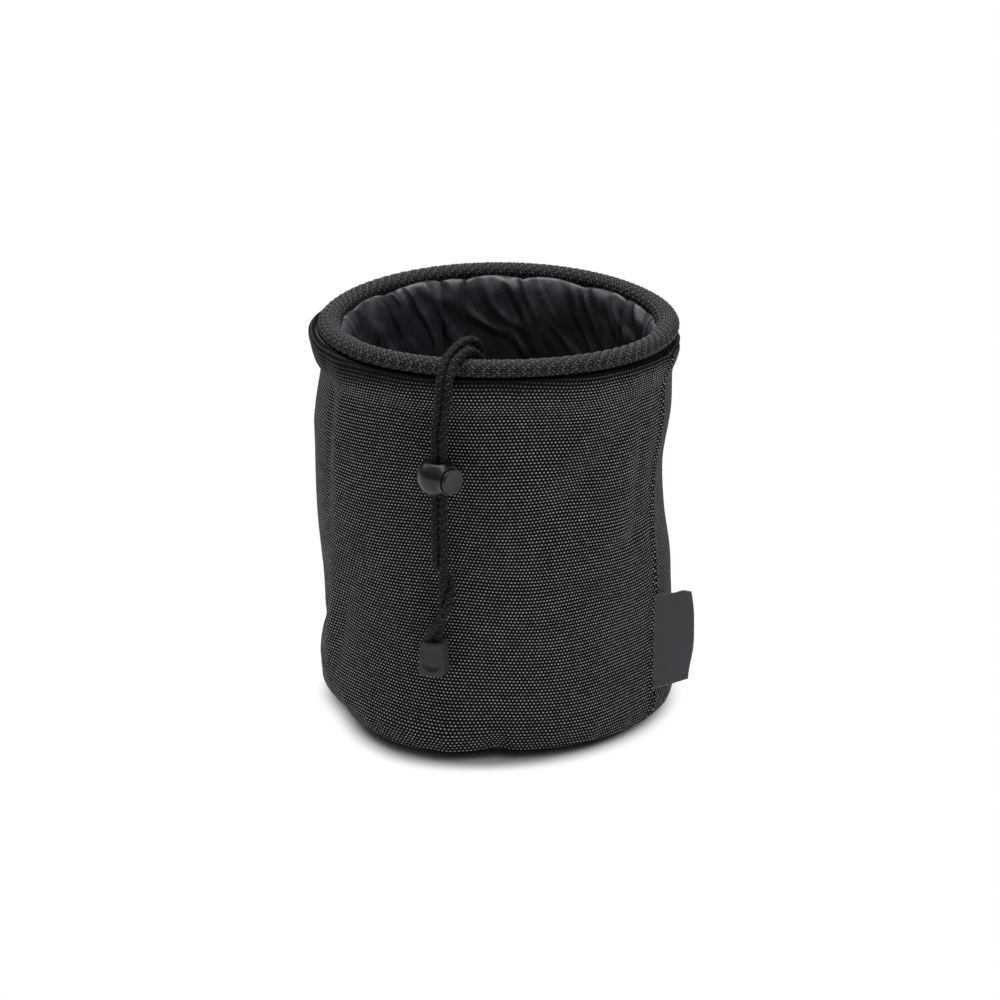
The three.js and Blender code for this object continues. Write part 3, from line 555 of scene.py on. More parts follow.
def tape_finish(name):
    """Grosgrain tape: ribs straight across it with a little fuzz."""

    def build(start):
        along, _ = parts_of(own_map(start))
        ribs = wave_of(along * (TAU / TAPE_RIB))
        fuzz = noise_of(start, own_map(start), 1.4, 3.0)
        tint = mix_of(ribs * 0.6 + fuzz * 0.4, opaque(TAPE_COLOUR, 0.5), opaque(TAPE_COLOUR, 1.5))
        normal = bump_of(ribs + fuzz * 0.3, 0.12, 0.7)
        return surface_of(tint, 0.74 + fuzz * 0.12, normal, sheen_weight=0.1)

    return make_finish(name, build)


def board_finish():
    """Sheet plastic: a leathery pebble grain with faint scuffs."""

    def build(start):
        place = piece_place(start)
        pebble = start.node("ShaderNodeTexVoronoi", None, {"Vector": place, "Scale": 900.0})
        scuff = noise_of(start, place, 60.0, 5.0, 0.65)
        marks = step_of(scuff, 0.55, 0.75)
        tint = mix_of(marks, opaque((0.018, 0.018, 0.019)), opaque((0.034, 0.034, 0.036)))
        return surface_of(tint, 0.5 + marks * 0.15, bump_of(pebble, 0.10, 0.5))

    return make_finish("board_plastic", build)


def steel_finish():
    """Drawn spring steel with fine marks along the wire."""

    def build(start):
        place = piece_place(start)
        drawn = noise_of(start, place, 1500.0, 3.0)
        tint = mix_of(drawn, opaque((0.42, 0.43, 0.44)), opaque((0.62, 0.63, 0.64)))
        inputs = {"Base Color": tint, "Metallic": 1.0, "Roughness": 0.26 + drawn * 0.12}
        return start.node("ShaderNodeBsdfPrincipled", None, inputs)

    return make_finish("spring_steel", build)


def floor_finish(stage):
    """White paper: beside the bag it takes light and shadow, and there the camera and gloss see it at
    0.45 of its colour, a painted shade that deepens the shadow; where it is marked as clear of the
    bag it is white to the camera and in gloss."""

    def build(start):
        rays = start.node("ShaderNodeLightPath", None, None, "Is Camera Ray")
        path = rays.socket.node.outputs
        seen = rays + Field(path["Is Glossy Ray"]) + Field(path["Is Transmission Ray"])
        paper = start.node("ShaderNodeBsdfDiffuse", None, {"Color": opaque(stage.floor)})
        # Painted shade: the paper seen beside the bag is darker than the floor colour, to deepen its
        # shadow
        shaded = start.node("ShaderNodeBsdfDiffuse", None, {"Color": opaque(stage.floor, 0.45)})
        white = start.node("ShaderNodeEmission", None, {"Color": opaque((1, 1, 1))})
        clear = mark_of(start, "clear")
        both = start.node("ShaderNodeMixShader", None, {0: clear, 1: shaded, 2: white})
        return start.node("ShaderNodeMixShader", None, {0: seen, 1: paper, 2: both})

    return make_finish("floor_paper", build)


def put_mesh(name, grid, uv=None, wrap=(False, False), keep=None, marks=None, weld=False):
    """An object from a grid of points in millimetres, rows by columns, with a face between each four
    neighbours; the rows and the columns may close into rings. uv has one row or column more where
    they do. keep tells which faces stay, marks are numbers kept at the points, and weld merges
    points that fall together, as at a pole. A face looks along (down the rows) x (along a row)."""
    rows, columns = grid.shape[:2]
    down, along = np.meshgrid(
        np.arange(rows if wrap[0] else rows - 1),
        np.arange(columns if wrap[1] else columns - 1),
        indexing="ij",
    )
    r, c = down.ravel(), along.ravel()
    if keep is not None:
        stay = keep[r, c]
        r, c = r[stay], c[stay]
    r_at = np.stack([r, r + 1, r + 1, r], 1)
    c_at = np.stack([c, c, c + 1, c + 1], 1)
    corners = (r_at % rows) * columns + c_at % columns
    mesh = bpy.data.meshes.new(name)
    mesh.vertices.add(rows * columns)
    mesh.vertices.foreach_set("co", to_row(grid).astype(np.float32).ravel())
    mesh.loops.add(corners.size)
    mesh.loops.foreach_set("vertex_index", corners.astype(np.int32).ravel())
    mesh.polygons.add(len(corners))
    mesh.polygons.foreach_set("loop_start", np.arange(0, corners.size, 4, dtype=np.int32))
    mesh.update(calc_edges=True)
    if uv is not None:
        layer = mesh.uv_layers.new(name="cloth")
        layer.data.foreach_set("uv", uv[r_at, c_at].astype(np.float32).ravel())
    for mark, values in (marks or {}).items():
        kept = mesh.attributes.new(mark, "FLOAT", "POINT")
        kept.data.foreach_set("value", np.ascontiguousarray(values, np.float32).ravel())
    if weld or keep is not None:
        tidy_mesh(mesh)
    mesh.shade_smooth()
    obj = bpy.data.objects.new(name, mesh)
    bpy.context.scene.collection.objects.link(obj)
    return obj


def put_rings(name, grid, uv=None, marks=None):
    """A closed piece from a stack of rings, with the points of its poles merged."""
    return put_mesh(name, grid, uv, (False, True), marks=marks, weld=True)


def tidy_mesh(mesh):
    """Merges points that fall together and drops points that no face uses."""
    work = bmesh.new()
    work.from_mesh(mesh)
    bmesh.ops.remove_doubles(work, verts=work.verts, dist=1e-7)
    loose = [vert for vert in work.verts if not vert.link_faces]
    bmesh.ops.delete(work, geom=loose, context="VERTS")
    work.to_mesh(mesh)
    work.free()


def crisp(obj, degrees=38):
    """Smooth shading that breaks where faces meet at more than that angle."""
    obj.data.set_sharp_from_angle(angle=math.radians(degrees))
    return obj


def dress(obj, material, slot, body, *nodes):
    """Gives a piece its material, and makes it ride on a body in place of plain solids. The slot is not
    used.
    """
    obj.data.materials.clear()
    obj.data.materials.append(material)
    if body:
        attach(obj, body)
    if nodes:
        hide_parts(*nodes)
    return obj


def thicken(obj, thickness):
    """Cloth thickness, both ways from the middle surface."""
    solid = obj.modifiers.new("cloth", "SOLIDIFY")
    solid.thickness = thickness
    solid.offset = 0.0
    solid.use_even_offset = False
    solid.use_quality_normals = True
    return obj


def carve(obj, *cutters):
    """Cuts other closed pieces out of a piece and removes them."""
    for cutter in cutters:
        tool = obj.modifiers.new("cut", "BOOLEAN")
        tool.operation = "DIFFERENCE"
        tool.solver = "EXACT"
        tool.object = cutter
    bpy.context.view_layer.update()
    graph = bpy.context.evaluated_depsgraph_get()
    carved = bpy.data.meshes.new_from_object(obj.evaluated_get(graph))
    obj.modifiers.clear()
    plain = obj.data
    obj.data = carved
    bpy.data.meshes.remove(plain)
    carved.name = obj.name
    for cutter in cutters:
        bpy.data.meshes.remove(cutter.data)
    carved.shade_smooth()
    return obj


def smooth_line(points, counts):
    """A line through points: between two of them the cubic whose end slopes come from both
    neighbours, each weighed by the square root of its distance. counts is the number of samples of
    each stretch."""
    points = np.asarray(points, float)
    before = 2 * points[:1] - points[1:2]
    after = 2 * points[-1:] - points[-2:-1]
    p = np.concatenate([before, points, after])
    gap = np.sqrt(np.linalg.norm(np.diff(p, axis=0), axis=-1, keepdims=True)) + 1e-9
    a, b, c, d = p[:-3], p[1:-2], p[2:-1], p[3:]
    g0, g1, g2 = gap[:-2], gap[1:-1], gap[2:]
    leave = ((b - a) / g0 - (c - a) / (g0 + g1) + (c - b) / g1) * g1
    reach = ((c - b) / g1 - (d - b) / (g1 + g2) + (d - c) / g2) * g1
    stretches = []
    for k, count in enumerate(counts):
        t = (np.arange(count) / count).reshape((-1,) + (1,) * (points.ndim - 1))
        low = (2 * t**3 - 3 * t**2 + 1) * b[k] + (t**3 - 2 * t**2 + t) * leave[k]
        high = (3 * t**2 - 2 * t**3) * c[k] + (t**3 - t**2) * reach[k]
        stretches.append(low + high)
    return np.concatenate(stretches + [points[-1:]])


def pairs(first, second):
    """Two arrays that fit each other, as pairs of numbers."""
    return np.stack(np.broadcast_arrays(first, second), -1)


def ends_again(rows):
    """Rows with the first and the last one again at the ends."""
    return np.concatenate([rows[:1], rows, rows[-1:]])


def shut(line, rings):
    """The rings of a tube between the end points of its line, so that both its ends are closed."""
    first, last = (np.repeat(end[:, None], rings.shape[1], 1) for end in (line[:1], line[-1:]))
    return np.concatenate([first, rings, last])


def lengths_of(line):
    """Length along a line of points, from 0 at its first point."""
    steps = np.linalg.norm(np.diff(line, axis=0), axis=-1)
    return np.concatenate([[0.0], np.cumsum(steps)])


def even_line(points, step):
    """The smooth line through points again, with samples that far apart."""
    fine = smooth_line(points, [40] * (len(points) - 1))
    along = lengths_of(fine)
    at = np.linspace(0, along[-1], int(along[-1] / step) + 1)
    return np.stack([np.interp(at, along, fine[:, k]) for k in range(3)], 1)


def around(radius, angle, z):
    """Points at a radius, an angle round the bag and a height."""
    radius, angle, z = np.broadcast_arrays(radius, angle, z)
    return np.stack([radius * np.sin(angle), -radius * np.cos(angle), z], -1)


def revolve(profile, count):
    """A profile of (radius, height) points carried round the bag's axis."""
    angle = np.arange(count) * TAU / count
    profile = np.asarray(profile, float)
    return around(profile[:, :1], angle[None, :], profile[:, 1:])


def flat_map(grid):
    """A map straight down onto the floor, with the first column again at the end."""
    closed = np.concatenate([grid, grid[:, :1]], 1)
    return closed[:, :, :2]


def rounded(corners, radius, steps=4):
    """An open profile with its inner corners turned into arcs: each corner becomes the quadratic
    curve from a point before it to a point after it."""
    corners = np.asarray(corners, float)
    pieces = [corners[:1]]
    for a, b, c in zip(corners[:-2], corners[1:-1], corners[2:]):
        reach_a = min(radius, 0.45 * np.linalg.norm(b - a))
        reach_c = min(radius, 0.45 * np.linalg.norm(c - b))
        start = b + (a - b) / np.linalg.norm(b - a) * reach_a
        stop = b + (c - b) / np.linalg.norm(c - b) * reach_c
        t = np.linspace(0, 1, steps + 1)[:, None]
        pieces.append((1 - t) ** 2 * start + 2 * t * (1 - t) * b + t**2 * stop)
    pieces.append(corners[-1:])
    return np.concatenate(pieces)


def plait(along, across):
    """A herringbone plait: its yarns slant one way in one band and the other way in the next. along
    counts the yarns along the bands and across counts pairs of bands. A yarn is a half circle across
    and highest in the middle of its band, and a sine of its number makes it stand higher or lower
    than the next. Gives the height from 0 to 1 and the place across the yarn."""
    zigzag = np.abs(2 * (across % 1) - 1)
    slanted = along + 0.8 * zigzag
    yarn = slanted % 1
    number = np.floor(slanted) % 47 * 2.4 + np.floor(2 * across) * 1.7
    lift = (0.87 + 0.13 * np.sin(number)) * (0.72 + 0.28 * np.sin(math.pi * zigzag))
    return np.sqrt(np.clip(1 - (2 * yarn - 1) ** 2, 0, 1)) * lift, yarn


def tube(line, radius, side):
    """A tube along a line. radius has a row for each point of the line and a column for each place
    round it. side is any direction that the line never takes: it fixes where the round starts."""
    ahead = np.gradient(line, axis=0)
    ahead /= np.linalg.norm(ahead, axis=1, keepdims=True)
    side = np.asarray(side, float)
    first = side - (ahead @ side)[:, None] * ahead
    first /= np.linalg.norm(first, axis=1, keepdims=True)
    second = np.cross(first, ahead)
    turn = np.arange(radius.shape[1]) * TAU / radius.shape[1]
    spoke = np.cos(turn)[None, :, None] * first[:, None] + np.sin(turn)[None, :, None] * second[:, None]
    return line[:, None] + radius[:, :, None] * spoke


def turn_from(angle, middle):
    """The turn from a middle angle, within half a turn either way."""
    return (angle - middle + math.pi) % TAU - math.pi


def eased(share):
    """A smooth step, level where the share is 0 and where it is 1."""
    return share**2 * (3 - 2 * share)


def wall_shift(angle, z, height):
    """How far the filled wall stands out: a lean to one side that fades above and below, less the
    soft dents, each a bell curve round its place."""
    lean = LEAN * np.cos(angle - math.radians(LEAN_SIDE))
    out = lean * np.exp(-(((z - height * 0.62) / (height * 0.3)) ** 2))
    for place, level, across, tall, depth in DENTS:
        turn = turn_from(angle, math.radians(place))
        bell = (turn / math.radians(across)) ** 2 + ((z - level) / tall) ** 2
        out = out - depth * np.exp(-bell / 2)
    return out


def wall_creases(angle, z, radius):
    """Creases: each a bell along its line times a narrower, sharper bell across it."""
    out = np.zeros(np.broadcast(angle, z).shape)
    for place, level, slope, half_length, half_width, rise in CREASES:
        turn = turn_from(angle, math.radians(place))
        x, y = radius * turn, z - level
        c, s = math.cos(math.radians(slope)), math.sin(math.radians(slope))
        along = (c * x + s * y) / half_length
        across = np.abs(c * y - s * x) / half_width
        out = out + rise * np.exp(-(along**2) / 2 - across**1.5)
    return out


def bell(angle, middle, across):
    """A bell curve of the angle round the bag, with its middle and half-width in degrees."""
    turn = turn_from(angle, math.radians(middle))
    return np.exp(-((turn / math.radians(across)) ** 2))


def base_bulge(angle):
    """How far the base edge bulges beside the cord."""
    return 4.4 * bell(angle, -10, 18)


def base_tuck(angle):
    """Where the base edge turns under softly, from 0 to 1."""
    return bell(angle, -50, 14)


def rim_shift(angle):
    """How far the rim stands above or below its middle height."""
    turn = angle - RIM_LINE
    return RIM_SAG * np.cos(2 * turn) - RIM_TILT * np.cos(turn)


def rim_level(bag):
    """Middle height of the rim and the height of its foot."""
    middle = to_mm(bag.wall.height) - RIM_TILT - RIM_SAG - to_mm(bag.rim.thickness) / 2
    return middle, middle - to_mm(bag.rim.thickness) / 2


def settle(bag, z, angle):
    """Heights that follow the rim: not at all at the pinch, and fully from the rim's foot up."""
    pinch = to_mm(bag.wall.height) - PINCH_DROP
    share = np.clip((z - pinch) / (rim_level(bag)[1] - pinch), 0, 1)
    return z + eased(share) * rim_shift(angle)


def seam_angle(z, height):
    """Where the side seam runs at a height: it slants along the label and from there up to the rim."""
    share = np.clip((z - SLANT_TOP) / (height - ROLL_DROP - SLANT_TOP), 0, 1)
    lower = np.clip((SLANT_TOP - z) / SLANT_RUN, 0, 1)
    return SEAM_FOOT + (SEAM - SEAM_FOOT) * eased(share) - SEAM_SLANT * lower


def follow_seam(angle, z, height):
    """Angles moved with the seam, less and less away from it."""
    turn = turn_from(angle, SEAM)
    return angle + (seam_angle(z, height) - SEAM) * np.exp(-((turn / 0.45) ** 2))


def wall_points(bag, angle):
    """The wall's middle line at each angle, from its edge in the rim to its hem in the base seam, as
    (radius, height, freedom) points before the lean and the dents. The roll swells on the side that
    the bag leans to and lies closer to the rim at the front; the base edge bulges beside the cord
    and turns under softly further round."""
    wall = bag.wall
    height, roll, pinch = to_mm(wall.height), to_mm(wall.roll), to_mm(wall.pinch)
    belly, waist, hip = to_mm(wall.belly), to_mm(wall.waist), to_mm(wall.hip)
    cloth = to_mm(wall.cloth)
    edge, hem = to_mm(bag.rim.radius) + WALL_EDGE, hip - HEM_TUCK
    roll_z, pinch_z = height - ROLL_DROP, height - PINCH_DROP
    belly_z = (pinch_z + WAIST_Z) / 2
    foot = BASE_CLOTH + cloth / 2 - 0.36
    swell = bell(angle, LEAN_SIDE, 38)
    front = bell(angle, 17, 55)
    crest = roll + 2.2 * swell - 0.7 * front
    tuck = base_tuck(angle)
    nick = bell(angle, 16, 4.5)
    low = hip + base_bulge(angle) + 1.6 * bell(angle, 1, 6) - 1.6 * nick
    rows = [
        (edge, RIM_TUCK_Z, 0),
        (edge, rim_level(bag)[1] - FIT, 0),
        ((edge * 3 + roll) / 4, roll_z + 0.63 + 3 * front, 0.2),
        (
            (edge + crest * 2) / 3 + 0.88 * swell + 0.4 * front,
            roll_z + 0.9 + 6.6 * swell + 3.2 * front,
            0.7,
        ),
        (crest, roll_z + 5.2 * swell + 2.4 * front, 1),
        ((roll + pinch + 2.2 * swell) / 2 + 0.4, (roll_z + pinch_z) / 2, 1),
        (pinch, pinch_z, 1),
        ((pinch + belly) / 2 + 0.2, (pinch_z * 2 + belly_z) / 3, 1),
        (belly, belly_z + 12, 1),
        (belly, belly_z - 12, 1),
        ((belly + waist) / 2, (belly_z - 12 + WAIST_Z) / 2, 1),
        (waist, WAIST_Z, 1),
        ((hip + low) / 2 + 1.2 * bell(angle, LEAN_SIDE, 20), HIP_Z, 0.5),
        (low - 0.64 * tuck + 0.4, (HIP_Z + foot) / 2, 0.2),
        (low - 0.5 - 2.08 * tuck, foot + 2.2 + 1.6 * tuck + 1.5 * nick, 0),
        (low - 1.5 - 3.2 * tuck, foot - 0.5 + 0.88 * tuck + 1.2 * nick, 0),
        (hem + 1.56, foot - 0.55, 0),
        (hem + 0.42, foot + 0.1, 0),
        (hem, foot + 1.4, 0),
        (hem, HEM_HEIGHT, 0),
    ]
    return np.stack([np.stack(np.broadcast_arrays(*row, angle)[:3], -1) for row in rows])


# Samples of each stretch of the wall's line
WALL_COUNTS = (2, 4, 5, 6, 7, 8, 10, 12, 10, 14, 12, 16, 9, 6, 5, 4, 4, 3, 3)


def seam_shape(angle, radius):
    """The side seam: a soft ridge beside a narrow groove, each a bell across the seam."""
    x = radius * turn_from(angle, SEAM)
    ridge = 0.75 * np.exp(-(((x + 1.7) / 1.4) ** 2))
    groove = 1.5 * np.exp(-(((x - 0.5) / 0.7) ** 2))
    far = 0.35 * np.exp(-(((x - 2.6) / 1.6) ** 2))
    return ridge + far - groove


def wall_angles(count):
    """Angles round the bag from the side seam on, closer together beside it."""
    even = np.arange(count) * TAU / count
    near = np.radians(np.linspace(-4, 4, 41)) % TAU
    even = even[np.abs(even - math.pi) < math.pi - math.radians(4.6)]
    return SEAM + np.sort(np.concatenate([even, near]))


def wall_surface(bag, columns):
    """The wall's middle surface at those angles: its points, the radius and the height of each, and
    the length down the cloth. The smooth line through the wall's points is carried round the bag,
    pushed out and in by the lean, the dents, the creases, the seam and small puckers at the base.
    Its columns follow the slant of the seam, and its top follows the rim."""
    height, belly = to_mm(bag.wall.height), to_mm(bag.wall.belly)
    points = wall_points(bag, columns)
    at = follow_seam(columns[None, :], points[:, :, 1], height)
    points[:, :, 0] += points[:, :, 2] * wall_shift(at, points[:, :, 1], height)
    line = smooth_line(points, WALL_COUNTS)
    radius, z, free = line[:, :, 0], line[:, :, 1], np.clip(line[:, :, 2], 0, 1)
    down = lengths_of(line[:, :, :2].mean(1))
    angle = follow_seam(columns[None, :], z, height)
    radius = radius + free * wall_creases(angle, z, belly)
    skirt = np.clip(free * 3, 0, 1) + np.exp(-(((z - 8) / 8) ** 2)) * (z > 2.2)
    radius = radius + np.clip(skirt, 0, 1) * seam_shape(columns, belly)[None, :]
    pucker = np.sin(angle * 31 + 2 * np.sin(angle * 3)) + 0.7 * np.sin(angle * 53 + 1.4)
    radius = radius + 0.35 * pucker * np.exp(-(((z - 6) / 4.5) ** 2)) * (z > 1.6)
    gather = np.sin(angle * 17 + np.sin(angle * 2)) + np.sin(angle * 29 + 2)
    radius = radius + 0.25 * gather * free * np.exp(-(((z - height + 16) / 7) ** 2))
    z = settle(bag, z, angle)
    return around(radius, angle, z), radius, z, down


def cloth_map(angle, down, radius):
    """A map of millimetres along the cloth, with the first column again at the end."""
    closed = np.append(angle, angle[0] + TAU) * radius
    return pairs(closed[None, :], -down[:, None])


class PEGBAG_OT_wall(Operator):
    """Make the wall cloth and the tape inside its seam"""

    bl_idname = "pegbag.wall"
    bl_label = "Wall Cloth"

    def execute(self, context):
        bag = context.scene.peg_bag
        wall = bag.wall
        finish = wall_finish(wall)
        angle = wall_angles(216)
        grid, _, _, down = wall_surface(bag, angle)
        uv = self.eased_map(cloth_map(angle, down, to_mm(wall.belly)))
        # Painted shade on the flecks: they fade out towards the rim, over a deeper band on the left where
        # the roll swells, though not below 0.28 there, and are dimmed by up to 35 percent round the side
        # past the seam
        depth = to_mm(wall.height) - 10.5 + rim_shift(angle) - grid[..., 2]
        bright = np.clip(depth / (6.5 + 12 * bell(angle, -60, 34)), 0, 1) ** 1.2
        bright = np.maximum(bright, 0.28 * bell(angle, -70, 34)) * (1 - 0.35 * bell(angle, 106, 24))
        cloth = put_mesh("wall_cloth", grid, uv, wrap=(False, True), marks={"bright": bright})
        thicken(cloth, wall.cloth)
        dress(cloth, finish, "wall_cloth", "bag", "side_panel")
        tape = self.seam_tape(bag)
        return {"FINISHED"}

    @staticmethod
    def eased_map(uv):
        """The map with its rows and columns pulled a little out of line, by slow sines both ways."""
        u, v = uv[..., 0], uv[..., 1]
        across = 1.5 * np.sin(v / 21 + 2.2 * np.sin(u / 46)) + 1.1 * np.sin(v / 47 + u / 63)
        down = 0.9 * np.sin(u / 29 + 1.2 * np.sin(v / 33)) + 0.5 * np.sin(u / 11 + v / 25)
        return np.stack([u + across, v + down], -1)

    @staticmethod
    def seam_tape(bag):
        """A flat strip just inside the wall, from below the roll to the hip."""
        wall = bag.wall
        columns = SEAM + np.linspace(-4.5, 4.5, 13) / to_mm(wall.belly)
        _, radius, z, down = wall_surface(bag, columns)
        rows = (z[:, 0] < to_mm(wall.height) - PINCH_DROP) & (z[:, 0] > HIP_Z)
        inset = to_mm(wall.cloth) / 2 + 0.85
        smooth = radius[rows] - seam_shape(columns, to_mm(wall.belly))[None, :] - inset
        angle = follow_seam(columns[None, :], z[rows], to_mm(wall.height))
        grid = around(smooth, angle, z[rows])
        across = np.linspace(0, 9, 13)
        uv = pairs(down[rows][:, None], across[None, :])
        tape = thicken(put_mesh("side_seam_tape", grid, uv), TAPE * MM)
        dress(tape, tape_finish("side_tape"), "seam_tape", "bag", "side_seam_binding")
        return tape


class PEGBAG_OT_base(Operator):
    """Make the woven base, the tape round its seam and the board on it"""

    bl_idname = "pegbag.base"
    bl_label = "Base"

    def execute(self, context):
        wall = context.scene.peg_bag.wall
        flange = to_mm(wall.hip) - HEM_TUCK - to_mm(wall.cloth) / 2 - FIT
        inner, bend = flange - BASE_CLOTH, flange * 0.94
        low, high, slope = -SAG, BASE_CLOTH - SAG, 0.58 * SAG
        outline = [(0, low), (BASE_FLAT, low), (bend, -slope), (flange - 0.7, -0.2), (flange, 1.5)]
        outline += [(flange, HEM_HEIGHT), (inner, HEM_HEIGHT), (inner, 1.8), (inner - 0.5, 0.85)]
        outline += [(bend - 0.4, BASE_CLOTH - slope), (BASE_FLAT, high), (0, high)]
        profile = rounded(outline, 1.1)
        discs = np.linspace(0, 1, 24)[1:, None] * profile[1] + np.zeros((23, 2))
        profile = np.concatenate([profile[:1], discs, profile[2:]])
        grid = revolve(profile[::-1], 144)
        base = put_rings("base_cloth", grid, flat_map(grid), {"bright": np.ones(grid.shape[:2])})
        dress(crisp(base), bpy.data.materials["wall_cloth"], "wall_cloth", "bag", "base_panel")
        span = 2 * (flange + HEM_HEIGHT) * MM
        math.pi * span * span / 4
        self.seam_tape(flange, inner)
        self.board(BASE_FLAT - FIT)
        return {"FINISHED"}

    @staticmethod
    def seam_tape(flange, inner):
        """A folded strip over the upright edges of the base and the wall."""
        outer, inside = flange + BASE_CLOTH + 2 * FIT + TAPE / 2, inner - FIT - TAPE / 2
        low, roof = 3.4, HEM_HEIGHT + FIT + TAPE / 2
        line = rounded([(outer, low), (outer, roof), (inside, roof), (inside, low)], 1.2, 6)
        grid = revolve(line[::-1], 180)
        along = lengths_of(line[::-1])
        round_it = np.arange(181) * TAU / 180 * flange
        uv = pairs(round_it[None, :], along[:, None])
        strip = thicken(put_mesh("base_seam_tape", grid, uv, wrap=(False, True)), TAPE * MM)
        dress(strip, tape_finish("base_tape"), "seam_tape", "bag", "base_seam_binding")

    @staticmethod
    def board(radius):
        """A disc with rounded edges, turned from its profile."""
        low, high = 1.5 - SAG, 3.5 - SAG
        profile = rounded([(0, low), (radius, low), (radius, high), (0, high)], 0.6)
        board = put_rings("base_board_disc", revolve(profile[::-1], 144))
        dress(crisp(board), board_finish(), "board_plastic", "bag", "base_board")


class PEGBAG_OT_rim(Operator):
    """Make the braided, flattened tube of the rim"""

    bl_idname = "pegbag.rim"
    bl_label = "Braided Rim"

    def execute(self, context):
        bag = context.scene.peg_bag
        rim = bag.rim
        ring, wide, tall_half = to_mm(rim.radius), to_mm(rim.width) / 2, to_mm(rim.thickness) / 2
        columns, rows = rim.stitches * 5, rim.courses * 6
        turn = np.arange(columns + 1) * TAU / columns
        fine = -np.linspace(0, TAU, 721)
        along = lengths_of(np.stack([wide * np.cos(fine), tall_half * np.sin(fine)], 1))
        share = np.arange(rows + 1) / rows
        roll = np.interp(share * along[-1], along, fine)
        tall, yarn = plait(rim.stitches * turn[None, :-1] / TAU, rim.courses * share[:-1, None])
        rise = to_mm(rim.relief) * (tall - 0.72)
        section = roll[:-1, None]
        out = ring + (wide + rise) * np.cos(section)
        z = rim_level(bag)[0] + rim_shift(turn[None, :-1]) + (tall_half + rise) * np.sin(section)
        grid = around(out, turn[None, :-1], z)
        uv = pairs(turn[None, :] * ring, -share[:, None] * along[-1])
        braided = put_mesh("rim_braid", grid, uv, (True, True), marks={"relief": tall, "yarn": yarn})
        finish = braid_finish("rim_weave", rim.colour, 0.16, 0.2)
        dress(braided, finish, "rim_weave", "bag", "rim_binding")
        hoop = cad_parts["rim_hoop"]
        hoop.data.materials.clear()
        hoop.data.materials.append(plastic_finish("hoop_plastic", (0.02, 0.02, 0.02), 0.45))
        return {"FINISHED"}


# Gathers of the collar: the angle of each in degrees, and how full the puff after it is
GATHERS = (
    (-174, 0.9),
    (-151, 0.6),
    (-139, 0.95),
    (-116, 1.0),
    (-92, 1.1),
    (-66, 1.5),
    (-24, 0.9),
    (2, 0.15),
    (13.5, 1.35),
    (27, 0.8),
    (43, 1.0),
    (66, 1.0),
    (92, 0.8),
    (108, 0.85),
    (126, 0.7),
    (141, 0.95),
    (163, 1.0),
)


def collar_puff(angle):
    """Puffs of the collar between its gathers: in each gap a skewed half sine to a low power, so that
    the cloth is full in the middle and creases sharply at the gathers. Gives the puff, the place
    across its gap and the gap's number."""
    stops = np.radians(np.array([place for place, _ in GATHERS] + [GATHERS[0][0] + 360.0]))
    turned = (angle - stops[0]) % TAU + stops[0]
    index = np.clip(np.searchsorted(stops, turned, side="right") - 1, 0, len(stops) - 2)
    share = np.clip((turned - stops[index]) / (stops[index + 1] - stops[index]), 0, 1)
    skew = share ** (1 + 0.4 * np.sin(index * 2.4))
    return np.array([full for _, full in GATHERS])[index] * np.sin(math.pi * skew) ** 0.7, share, index


